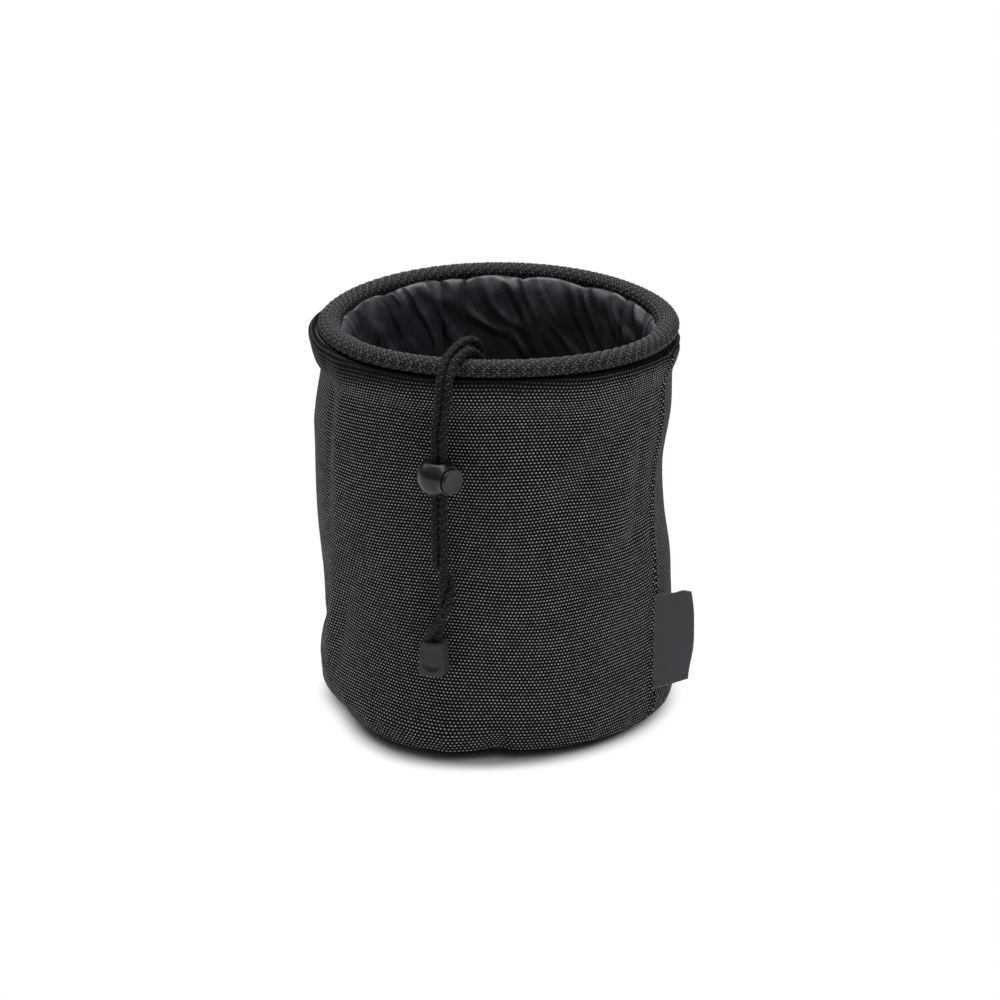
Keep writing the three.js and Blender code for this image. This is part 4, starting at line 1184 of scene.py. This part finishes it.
class PEGBAG_OT_collar(Operator):
    """Make the drawstring collar with its hem tunnel"""

    bl_idname = "pegbag.collar"
    bl_label = "Drawstring Collar"

    def execute(self, context):
        bag = context.scene.peg_bag
        collar = bag.collar
        foot = rim_level(bag)[1] - FIT
        edge = to_mm(bag.rim.radius) - COLLAR_EDGE
        drop, lean = to_mm(collar.drop), to_mm(collar.lean)
        columns = 720
        angle = np.arange(columns) * TAU / columns
        hem = edge - lean
        quiet = 1 - bell(angle, math.degrees(EXIT_ANGLE), 14)
        slant = quiet * (0.06 * np.sin(3 * angle + 1) + 0.04 * np.sin(7 * angle))
        rows = [
            (edge, 0, RIM_TUCK_Z, 0),
            (edge, 0, foot, 0),
            (edge - 1.9, 0, foot + 0.1, 0.5),
            (edge - 4.6, 1.0, foot + 1.0, 2.2),
            (edge - 6.2, 2.4, foot - 2.4, 2.0),
            (edge - 6.2, 3.8, foot - 11, 1.0),
            (edge - 5.4, 3.2, foot - drop * 0.52, 0),
            (hem - 0.6, 1.8, foot - drop * 0.78, 0),
            (hem - 0.1, 0.4, foot - drop * 0.94, 0),
            (hem, 0, foot - drop, 0),
        ]
        size = to_mm(collar.puff) / 4.2
        points = []
        for k, (radius, come_in, z, lift) in enumerate(rows):
            puff, share, index = collar_puff(angle + slant * k / 9)
            slack = 0.6 * np.sin(index * 2.4 + k) * np.sin(TAU * share) * (come_in > 1.5)
            points.append(np.stack([radius - size * come_in * puff + slack, z + size * lift * puff], -1))
        line = smooth_line(np.stack(points), (2, 4, 6, 8, 10, 12, 10, 8, 4))
        level = np.linspace(0, 1, len(line))[:, None]
        puff, share, index = collar_puff(angle[None, :] + slant * level)
        body = np.sin(math.pi * np.clip(level * 1.15 - 0.12, 0, 1))
        fan = np.sin(share * 17 + index * 1.7 - 9 * level) * np.exp(-(((share - 0.5) / 0.42) ** 4))
        cross = np.sin(15 * level + 6 * share + index * 2.1)
        line[:, :, 0] += body * puff * (0.42 * fan + 0.32 * cross)
        turn = np.linspace(0, 1.6 * math.pi, 21)[1:, None]
        tunnel = 2.8
        hem_r = hem - tunnel + tunnel * np.cos(turn) + 0.15 * np.sin(angle * 45) * np.sin(turn / 2)
        hem_z = foot - drop - tunnel * np.sin(turn) + 0 * angle
        r = np.concatenate([line[:, :, 0], hem_r])
        z = np.concatenate([line[:, :, 1], hem_z])
        down = lengths_of(np.stack([r, z], -1).mean(1))
        turned = np.abs(turn_from(angle + TAU / columns / 2, EXIT_ANGLE))
        keep = ~((turned < EXIT_HALF_GAP)[None, :] & (np.arange(len(r) - 1) >= len(line) - 1)[:, None])
        uv = cloth_map(angle, down, edge * 1.1)
        grid = around(r, angle[None, :], settle(bag, z, angle[None, :]))
        cloth = put_mesh("collar_cloth", grid[:, ::-1], uv[:, ::-1], (False, True), keep[:, ::-1])
        thicken(cloth, collar.cloth)
        dress(cloth, nylon_finish(collar), "collar_nylon", "bag", "drawstring_collar")
        return {"FINISHED"}


def strand_routes():
    """The routes of the two strands, from the hem tunnel over the rim down into the cord end."""
    hem_r, hem_z = HEM_LINE
    step = 2 * FIT / hem_r
    left, right = EXIT_ANGLE - EXIT_HALF_GAP + step, EXIT_ANGLE + EXIT_HALF_GAP - step
    deg = math.radians(1)
    middle = (HANG_X + LOCK_X) / 2
    rise_left = [
        (hem_r, left, hem_z),
        (hem_r - 0.7, left + 3.6 * deg, hem_z + 0.7),
        (hem_r - 3.4, left + 6.6 * deg, hem_z + 4.4),
        (63.4, 9.9 * deg, 148),
        (62.4, 10.2 * deg, 160),
        (62.2, 10.2 * deg, 172),
        (62.4, 10 * deg, 179),
        (63.6, 9.4 * deg, 184.9),
        (66.6, 7.5 * deg, 188.2),
        (71.2, 5 * deg, 188.9),
        (76.6, 2.7 * deg, 187.2),
    ]
    rise_right = [
        (hem_r, right, hem_z),
        (hem_r - 0.2, right - 3.6 * deg, hem_z + 0.7),
        (hem_r - 1, right - 6.4 * deg, hem_z + 4.4),
        (66.8, 11.4 * deg, 148),
        (66.4, 11 * deg, 160),
        (66.4, 11 * deg, 170),
        (66.8, 10.8 * deg, 176),
        (68.4, 10 * deg, 181.4),
        (71.8, 8 * deg, 184.6),
        (76.6, 5.9 * deg, 185.3),
    ]
    over_left = [(-1.4, -82.6, 183.9), (-1.9, -87.4, 179.4), (-STRAND_X, STRAND_Y + 0.4, 174.6)]
    over_right = [(3.2, -81.8, 183.7), (2.2, -86.6, 179.8), (STRAND_X, STRAND_Y + 0.4, 175)]
    bow_left = [
        (-1.9, 0.6, 92.8),
        (-0.7, 3.6, 88.9),
        (2, 4.5, 85.5),
        (4.3, 3, 82.2),
        (5.1, 0.2, 78.6),
        (4.8, -2.4, 74.8),
        (3.5, -4, 70.8),
        (1, -4.3, 66.8),
        (-2, -3.2, 62.8),
        (-5.1, -0.2, 58.6),
    ]
    bow_right = [
        (1.7, -0.1, 88),
        (1.4, 0, 79),
        (1.2, 0.7, 71.5),
        (0.4, 1.6, 65.5),
        (-0.9, END_Y - STRAND_Y, 60),
    ]
    strands = (
        ("left", -STRAND_X, rise_left, over_left, bow_left, END_TOP_Z - 0.5),
        ("right", STRAND_X, rise_right, over_right, bow_right, END_TOP_Z - 1),
    )
    routes = {}
    for name, side, rise, over, bow, mouth in strands:
        straight = [(HANG_X + side, STRAND_Y, 170), (middle + side, STRAND_Y, BEND_Z)]
        straight += [(LOCK_X + side, STRAND_Y, z) for z in (153, 149, 120, 97)]
        foot = [(END_X + side, END_Y, mouth), (END_X + side, END_Y, STRAND_FOOT)]
        inside = around(*np.array(rise).T)
        hanging = np.array(over) + (HANG_X, 0, 0)
        bowed = np.array(bow) + (LOCK_X, STRAND_Y, 0)
        routes[name] = np.concatenate([inside, hanging, straight, bowed, foot])
    return routes


def braided_cord(name, line, cord, side, start=0.0, sides=36):
    """A plaited tube along a line with closed ends: the bands of the plait run along the cord, and
    start is how much cord lies before this piece."""
    along = (lengths_of(line) + start) / to_mm(cord.pitch)
    tall, yarn = plait(along[:, None], cord.courses * np.arange(sides)[None, :] / sides)
    radius = to_mm(cord.diameter) / 2 + to_mm(cord.relief) * (tall - 0.72)
    rows = lengths_of(ends_again(line)) + start
    round_it = np.arange(sides + 1) / sides * math.pi * to_mm(cord.diameter)
    uv = pairs(rows[:, None], round_it[None, :])
    marks = {"relief": ends_again(tall), "yarn": ends_again(yarn)}
    return put_rings(name, shut(line, tube(line, radius, side)), uv, marks)


class PEGBAG_OT_drawcord(Operator):
    """Make the drawcord: its loop in the hem, and two strands over the rim down to the cord end"""

    bl_idname = "pegbag.drawcord"
    bl_label = "Drawcord"

    def execute(self, context):
        cord = context.scene.peg_bag.cord
        finish = braid_finish("drawcord_braid", cord.colour, 0.16, 0.13)
        self.loop(cord, finish)
        fitting = [bpy.data.objects[name] for name in ("cord_end_body", "cord_end_plate")]
        pieces = ("ball_lock", "ball_lock_button", "ball_lock_spring")
        grips = [bpy.data.objects[name] for name in pieces]
        for name, points in strand_routes().items():
            line = even_line(points, 0.2)
            outside = (line[:, 1] < -80) & (line[:, 2] < SPLIT_Z)
            split = int(np.argmax(outside))
            side = (1, 1, 0.05) if name == "left" else (-1, 1, 0.05)
            rise, tail = line[: split + 1], line[split:]
            before = lengths_of(rise)[-1]
            upper = braided_cord(f"drawcord_rise_{name}_braid", rise, cord, side)
            dress(upper, finish, "drawcord_braid", "bag", f"drawcord_rise_{name}")
            lower = braided_cord(f"drawcord_tail_{name}_braid", tail, cord, side, before)
            dress(lower, finish, "drawcord_braid", None, f"drawcord_tail_{name}")
            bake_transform(lower)
            self.declare(upper, rise, cord, "object", ())
            self.declare(lower, tail, cord, "fitting", fitting + (grips if name == "left" else []))
        return {"FINISHED"}

    @staticmethod
    def declare(obj, line, cord, far_end, with_pieces):
        """Does nothing with the cord: its line, its far end and its pieces are not used."""

    def loop(self, cord, finish):
        """The cord in the hem tunnel, from one side of the opening round to the other."""
        radius, z = HEM_LINE
        turn = np.linspace(EXIT_ANGLE + EXIT_HALF_GAP, TAU + EXIT_ANGLE - EXIT_HALF_GAP, 1400)
        line = around(radius, turn, z)
        loop = braided_cord("drawcord_loop_braid", line, cord, (0, 0, 1), sides=24)
        dress(loop, finish, "drawcord_braid", "bag", "drawcord_loop")
        self.declare(loop, line, cord, "object", ())


def place_lock(grid):
    """Points of the lock's own frame, X along its bore and the strands through its origin, put in
    the row frame."""
    c, s = math.cos(LOCK_TURN), math.sin(LOCK_TURN)
    x, y, z = grid[..., 0], grid[..., 1], grid[..., 2]
    return np.stack([c * x - s * y + LOCK_X, s * x + c * y + STRAND_Y, z + LOCK_Z], -1)


def turned_along_x(profile, count):
    """A profile of (radius, place along X) points carried round X."""
    turn = -np.arange(count) * TAU / count
    radius, x = profile[:, :1], profile[:, 1:]
    return np.stack(np.broadcast_arrays(x, radius * np.cos(turn), radius * np.sin(turn)), -1)


def arc_points(x, y, radius, start, stop, steps):
    """Points of an arc in a plane."""
    turn = np.linspace(start, stop, steps + 1)
    return np.stack([x + radius * np.cos(turn), y + radius * np.sin(turn)], 1)


def slot_cutter(name, start, stop, half_width, corner):
    """An upright prism with rounded corners, for the way of the strands through the lock."""
    outline = np.concatenate(
        [
            arc_points(stop - corner, -half_width + corner, corner, -math.pi / 2, 0, 8),
            arc_points(stop - corner, half_width - corner, corner, 0, math.pi / 2, 8),
            arc_points(start + corner, half_width - corner, corner, math.pi / 2, math.pi, 8),
            arc_points(start + corner, -half_width + corner, corner, math.pi, 1.5 * math.pi, 8),
        ]
    )
    middle = np.broadcast_to(outline.mean(0), outline.shape)
    flat = np.stack([middle, outline, outline, middle])
    z = np.array([16.0, 16.0, -16.0, -16.0])[:, None, None]
    grid = np.concatenate([flat, np.broadcast_to(z, flat.shape[:2] + (1,))], -1)
    return put_rings(name, place_lock(grid))


class PEGBAG_OT_lock(Operator):
    """Make the ball lock, its button and its spring"""

    bl_idname = "pegbag.lock"
    bl_label = "Ball Lock"

    def execute(self, context):
        lock = context.scene.peg_bag.lock
        finish = plastic_finish("lock_plastic", lock.colour, 0.24)
        radius, nose = to_mm(lock.radius), BALL_X + to_mm(lock.nose)
        button, face = to_mm(lock.button), nose + to_mm(lock.proud)
        corner = to_mm(context.scene.peg_bag.cord.diameter) / 2 + FIT
        half_length = STRAND_X * math.cos(LOCK_TURN) + corner
        half_width = STRAND_X * abs(math.sin(LOCK_TURN)) + corner
        bottom = BALL_X - math.sqrt((radius - 0.5) ** 2 - SPRING_POCKET**2)
        barrel = self.barrel(radius, nose, to_mm(lock.nose_radius), button + 0.12, bottom)
        cutter = slot_cutter("barrel_slot", -half_length, half_length, half_width, corner)
        crisp(carve(barrel, cutter), 32)
        dress(barrel, finish, "lock_plastic", "cord_lock", "cord_lock_barrel")
        heel = -half_length - 0.6
        stem, step = button - STEM_STEP, face - 3.9
        flat = 0.84 * button
        outline = [(0, heel), (stem, heel), (stem, step), (button, step), (button, face), (flat, face)]
        dish = np.linspace(flat, 0, 10)[1:]
        dished = np.stack([dish, face - 0.35 * (1 - (dish / flat) ** 2)], 1)
        profile = np.concatenate([rounded(outline, 0.6, 6), dished])
        cap = put_rings("ball_lock_button", place_lock(turned_along_x(profile, 64)))
        cutter = slot_cutter("button_slot", -half_length, half_length + 2.3, half_width, corner)
        crisp(carve(cap, cutter), 32)
        dress(cap, finish, "lock_plastic", "lock_button", "cord_lock_button")
        spring = self.spring(bottom + FIT, heel - FIT)
        dress(spring, steel_finish(), "spring_steel", "cord_lock", "cord_lock_spring")
        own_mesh(spring)
        return {"FINISHED"}

    @staticmethod
    def spring(start, stop):
        """A round wire wound two turns about X: its middle goes round a circle as it goes along."""
        wire, wound, sides = 0.2, 2.9, 12
        turn = np.linspace(0, 2 * TAU, 97)
        x = np.linspace(start + wire, stop - wire, len(turn))
        line = np.stack([x, wound * np.cos(turn), wound * np.sin(turn)], 1)
        rings = tube(line, np.full((len(line), sides), wire), (1, 0, 0))
        return put_rings("ball_lock_spring", place_lock(shut(line, rings)))

    @staticmethod
    def barrel(radius, nose, nose_radius, bore, bottom):
        """A ball that runs on into a short nose, turned about its stepped bore, with a pocket for the
        spring behind it. Its top and its foot are cut flat where the strands pass."""
        stem = bore - STEM_STEP
        floor = BALL_X - math.sqrt((radius - 1) ** 2 - stem**2)
        ease = math.acos(nose_radius / radius) - 0.12
        ball = arc_points(0, BALL_X, radius, -math.pi / 2, ease, 48)
        edge = [ball[-1], (nose_radius, nose - 1.1), (nose_radius, nose), (bore, nose)]
        lip = rounded(edge, 0.5, 6)[1:-1]
        inside = [(bore, nose), (bore, nose - 2), (bore, nose - 4.2), (stem, nose - 4.2)]
        inside += [(stem, floor), (SPRING_POCKET, floor), (SPRING_POCKET, bottom), (0, bottom)]
        profile = np.concatenate([ball, lip, np.array(inside)])
        grid = turned_along_x(profile, 128)
        z = grid[..., 2]
        over = np.abs(z) - LOCK_FLAT
        level = LOCK_FLAT - 0.12 * np.log1p(np.exp(np.clip(-over / 0.12, -40, 40)))
        grid[..., 2] = np.where(over > -0.8, np.sign(z) * level, z)
        return put_rings("ball_lock", place_lock(grid))


def end_outline(lock, inset, count=96):
    """The cord end's outline: a trapezoid with a rounded foot, as (across, up) points from the
    middle of its top edge, evenly spaced. inset is how far it lies inside the outer edge."""
    top = to_mm(lock.end_top) / 2 - inset
    bottom = to_mm(lock.end_bottom) / 2 - inset
    low = -END_HEIGHT + inset
    foot = max(2.0 - inset, 0.5)
    corners = np.concatenate(
        [
            [(0, -inset)],
            arc_points(-top + END_EDGE, -inset - END_EDGE, END_EDGE, math.pi / 2, math.pi, 5),
            arc_points(-bottom + foot, low + foot, foot, math.pi, 1.5 * math.pi, 10),
            arc_points(bottom - foot, low + foot, foot, -math.pi / 2, 0, 10),
            arc_points(top - END_EDGE, -inset - END_EDGE, END_EDGE, 0, math.pi / 2, 5),
            [(0, -inset)],
        ]
    )
    along = lengths_of(corners)
    at = np.linspace(0, along[-1], count + 1)[:-1]
    return np.stack([np.interp(at, along, corners[:, k]) for k in range(2)], 1)


def stood_up(outline, y):
    """An outline of (across, up) points, upright at that depth."""
    return np.column_stack([outline[:, 0], np.full(len(outline), y), outline[:, 1]])


class PEGBAG_OT_cord_end(Operator):
    """Make the cord end and the plate in its back"""

    bl_idname = "pegbag.cord_end"
    bl_label = "Cord End"

    def execute(self, context):
        lock = context.scene.peg_bag.lock
        finish = bpy.data.materials["lock_plastic"]
        depth = to_mm(lock.end_depth)
        body = put_rings("cord_end_body", self.place(self.body(lock, depth), depth))
        mouth = self.mouth(context.scene.peg_bag.cord, depth)
        crisp(carve(body, mouth), 35)
        dress(body, finish, "lock_plastic", "cord_tail", "cord_end_shell")
        plate = put_rings("cord_end_plate", self.place(self.plate(lock), depth))
        dress(crisp(plate, 35), finish, "lock_plastic", "cord_tail", "cord_end_cover")
        return {"FINISHED"}

    @staticmethod
    def place(grid, depth):
        return grid + np.array([END_X, END_Y + depth / 2, END_TOP_Z])

    @staticmethod
    def body(lock, depth):
        """Rings from the middle of the front, out to the rounded edge, back along the side and in
        again to the pocket of the plate. The front sinks towards the foot inside a thumb-shaped
        border, so the recess is deepest where it ends."""
        outline = end_outline(lock, 0)
        middle = np.array([0, -END_HEIGHT / 2])
        border = 1 - 2.4 * END_EDGE / END_HEIGHT
        turn = np.linspace(0, math.pi / 2, 7)
        front, side = np.linspace(0, border, 32)[:-1], np.linspace(END_EDGE, depth, 8)[1:]
        share = np.concatenate([front, border + (1 - border) * np.sin(turn), np.ones(7)])
        back = np.concatenate([np.zeros(31), END_EDGE * (1 - np.cos(turn)), side])[:, None]
        flat = middle + share[:, None, None] * (outline - middle)
        x, z = flat[..., 0], flat[..., 1]
        wide, low = to_mm(lock.end_bottom) / 2 - 1.5, -END_HEIGHT + 2.2
        narrow = wide + (to_mm(lock.end_top) - to_mm(lock.end_bottom)) / 2 * (1 + z / END_HEIGHT)
        below = np.clip(low + wide - z, 0, None)
        inside = narrow - np.hypot(x, below)
        sink = 0.45 * np.clip((-z - 0.8) / 3, 0, 1) + 1.5 * np.clip(below / wide, 0, 1) ** 1.5
        blend = 1 / (1 + np.exp(-np.clip(inside / 0.1, -30, 30)))
        y = back - depth + np.where(back == 0, sink * blend, 0)
        pocket = end_outline(lock, 1.2)
        centre = np.broadcast_to(middle, pocket.shape)
        floor = -PLATE_POCKET
        rear = [stood_up(pocket, 0.0), stood_up(pocket, floor), stood_up(centre, floor)]
        return np.concatenate([np.stack([x, y, z], -1), np.stack(rear)])

    @staticmethod
    def plate(lock):
        """A flat plate with eased edges that closes the back."""
        outline = end_outline(lock, 1.5)
        middle = np.array([0, -END_HEIGHT / 2])
        inner = FIT - PLATE_POCKET
        rings = ((0.0, inner), (1.0, inner), (1.0, -0.25), (0.965, 0.0), (0.0, 0.0))
        return np.stack([stood_up(middle + (outline - middle) * k, y) for k, y in rings])

    @staticmethod
    def mouth(cord, depth):
        """A flat-sided slot with round ends, where the strands enter the top."""
        half = to_mm(cord.diameter) / 2 + FIT
        outline = np.concatenate(
            [
                arc_points(STRAND_X, 0, half, -math.pi / 2, math.pi / 2, 10),
                arc_points(-STRAND_X, 0, half, math.pi / 2, 1.5 * math.pi, 10),
            ]
        )
        rings = []
        for k, z in ((0, 3.0), (1, 3.0), (1, -5.0), (0, -5.0)):
            rings.append(np.column_stack([outline * k, np.full(len(outline), z)]))
        grid = np.stack(rings) + np.array([END_X, END_Y, END_TOP_Z])
        return put_rings("cord_end_mouth", grid)


class PEGBAG_OT_label(Operator):
    """Make the blank woven label in the side seam"""

    bl_idname = "pegbag.label"
    bl_label = "Side Label"

    def execute(self, context):
        bag = context.scene.peg_bag
        label = bag.label
        width, tall, cloth = to_mm(label.width), to_mm(label.height), to_mm(label.cloth)
        c, s = math.cos(LABEL_HEADING), math.sin(LABEL_HEADING)
        ahead, across = np.array([s, -c, 0]), np.array([c, s, 0])
        bend = 0.65
        out = np.linspace(-1.6, width - bend, 30)
        fold = np.linspace(-math.pi / 2, math.pi / 2, 9)[1:-1]
        x = np.concatenate([out, width - bend + bend * np.cos(fold), out[::-1]])
        side = np.concatenate([np.full(30, -1.0), np.sin(fold), np.full(30, 1.0)]) * (bend - cloth / 2)
        along = lengths_of(np.stack([x, side], 1))
        share = np.linspace(0, 1, 41)
        z = LABEL_Z + tall * share
        _, radius, wall_z, _ = wall_surface(bag, np.array([SEAM]))
        order = np.argsort(wall_z[:, 0])
        plain = radius[order, 0] - seam_shape(SEAM, to_mm(bag.wall.belly))
        seam_r = np.interp(z, wall_z[order, 0], plain)
        root = around(seam_r + 1.5, seam_angle(z, to_mm(bag.wall.height)), z)
        reach = np.clip(x / width, 0, 1)[None, :]
        wave = 0.9 * np.sin(share * 5.2 + 0.6)[:, None] * reach**1.5
        wave = wave + 0.35 * np.sin(share * 13)[:, None] * reach**2
        sag = reach * 2.4 * np.sin(math.pi * share)[:, None]
        grid = (
            root[:, None]
            + (x[None, :] + sag)[..., None] * ahead
            + (side[None, :] + wave)[..., None] * across
        )
        hump = 0.9 * np.exp(-(((reach - 0.78) / 0.16) ** 2)) * share[:, None] ** 4
        grid[..., 2] += reach * (0.7 * np.cos(share * 3.3) + 2.0 * (1 - share) ** 3)[:, None] + hump
        uv = pairs(along[None, :], (tall * share)[:, None])
        tape = thicken(put_mesh("label_tape_fold", grid, uv), label.cloth)
        dress(tape, label_finish(label), "label_tape", "bag", "side_label")
        return {"FINISHED"}


class PEGBAG_OT_stage(Operator):
    """Make the camera, the floor and the light"""

    bl_idname = "pegbag.stage"
    bl_label = "Stage"

    def execute(self, context):
        scene = context.scene
        stage = scene.peg_bag.stage
        lens = bpy.data.cameras.new("camera")
        lens.lens = stage.lens
        lens.sensor_width = 36
        lens.clip_start = 0.05
        lens.clip_end = 50
        camera = bpy.data.objects.new("camera", lens)
        turn = stage.azimuth
        camera.location = (
            stage.distance * math.sin(turn),
            -stage.distance * math.cos(turn),
            stage.height,
        )
        camera.rotation_euler = (math.pi / 2 - stage.pitch, 0, turn - stage.yaw)
        scene.collection.objects.link(camera)
        scene.camera = camera
        scene.view_settings.view_transform = "Standard"
        self.floor(stage)
        self.sky(scene, stage)
        self.lamp(scene, "key_lamp", stage.key, 1.6, (0.05, 0.3, 1.75))
        self.lamp(scene, "left_lamp", stage.fill * 0.7, 1.2, (-1.3, 0.25, 1.4))
        self.lamp(scene, "right_lamp", stage.fill * 0.85, 1.2, (1.05, -0.35, 1.6))
        return {"FINISHED"}

    @staticmethod
    def floor(stage):
        """A wide flat sheet just under the base, in rings round the bag. Its mark is a smooth step of
        the distance from the base edge that starts later at the front, where the shadow falls."""
        rings = np.concatenate([[0, 40], np.arange(64, 130, 1.5), [150, 300, 1000, 5000]])[:, None]
        angle = np.arange(180) * TAU / 180
        edge = 80.7 + base_bulge(angle) - 3.2 * base_tuck(angle)
        share = np.clip((rings - edge - 9.8 * bell(angle, 8, 42) + 7) / 14, 0, 1)
        grid = around(rings, angle[None, :], -SAG - 0.3)
        floor = put_rings("floor", grid, marks={"clear": eased(share)})
        floor.data.materials.append(floor_finish(stage))

    @staticmethod
    def sky(scene, stage):
        """A pale sky, brighter overhead, that shows white to the camera."""
        world = bpy.data.worlds.new("sky")
        scene.world = world
        world.use_nodes = True
        tree = world.node_tree
        tree.nodes.clear()
        end = tree.nodes.new("ShaderNodeOutputWorld").inputs["Surface"]
        start = Field(end)
        rays = start.node("ShaderNodeLightPath", None, None, "Is Camera Ray")
        place = start.node("ShaderNodeTexCoord", None, None, 0)
        up = start.node("ShaderNodeSeparateXYZ", None, {0: place}, 2)
        light = (step_of(up, -0.1, 0.9) * 1.4 + 0.45) * stage.sky
        strength = rays * (1 - light) + light
        white = start.node("ShaderNodeBackground", None, {0: opaque((1, 1, 1)), 1: strength})
        tree.links.new(white.socket, end)

    @staticmethod
    def lamp(scene, name, power, size, place):
        """A square soft lamp that points at the middle of the bag."""
        light = bpy.data.lights.new(name, "AREA")
        light.energy = power
        light.size = size
        lamp = bpy.data.objects.new(name, light)
        scene.collection.objects.link(lamp)
        lamp.location = place
        x, y, z = place[0], place[1], place[2] - 0.09
        lamp.rotation_euler = (math.atan2(math.hypot(x, y), z), 0, math.atan2(y, x) + math.pi / 2)


# The cord end and the lock come before the drawcord, because it looks them up by name
PIECE_OPERATORS = (
    PEGBAG_OT_wall,
    PEGBAG_OT_base,
    PEGBAG_OT_rim,
    PEGBAG_OT_collar,
    PEGBAG_OT_lock,
    PEGBAG_OT_cord_end,
    PEGBAG_OT_drawcord,
    PEGBAG_OT_label,
    PEGBAG_OT_stage,
)


class PEGBAG_PT_panel(Panel):
    """Settings and makers of the peg bag"""

    bl_idname = "PEGBAG_PT_panel"
    bl_label = "Peg Bag"
    bl_space_type = "VIEW_3D"
    bl_region_type = "UI"
    bl_category = "Peg Bag"

    def draw(self, context):
        bag = context.scene.peg_bag
        for group in ("wall", "rim", "collar", "cord", "lock", "label", "stage"):
            box = self.layout.box()
            box.label(text=group.capitalize())
            settings = getattr(bag, group)
            for name in settings.__annotations__:
                box.prop(settings, name)
        for operator in PIECE_OPERATORS:
            self.layout.operator(operator.bl_idname)


CLASSES = (
    WallSettings,
    RimSettings,
    CollarSettings,
    CordSettings,
    LockSettings,
    LabelSettings,
    StageSettings,
    PegBagSettings,
    *PIECE_OPERATORS,
    PEGBAG_PT_panel,
)


def register():
    for each in CLASSES:
        bpy.utils.register_class(each)
    bpy.types.Scene.peg_bag = PointerProperty(type=PegBagSettings)


def unregister():
    del bpy.types.Scene.peg_bag
    for each in reversed(CLASSES):
        bpy.utils.unregister_class(each)


def main():
    register()
    bpy.ops.pegbag.wall()
    bpy.ops.pegbag.base()
    bpy.ops.pegbag.rim()
    bpy.ops.pegbag.collar()
    bpy.ops.pegbag.lock()
    bpy.ops.pegbag.cord_end()
    bpy.ops.pegbag.drawcord()
    bpy.ops.pegbag.label()
    bpy.ops.pegbag.stage()


if __name__ == "__main__":
    main()
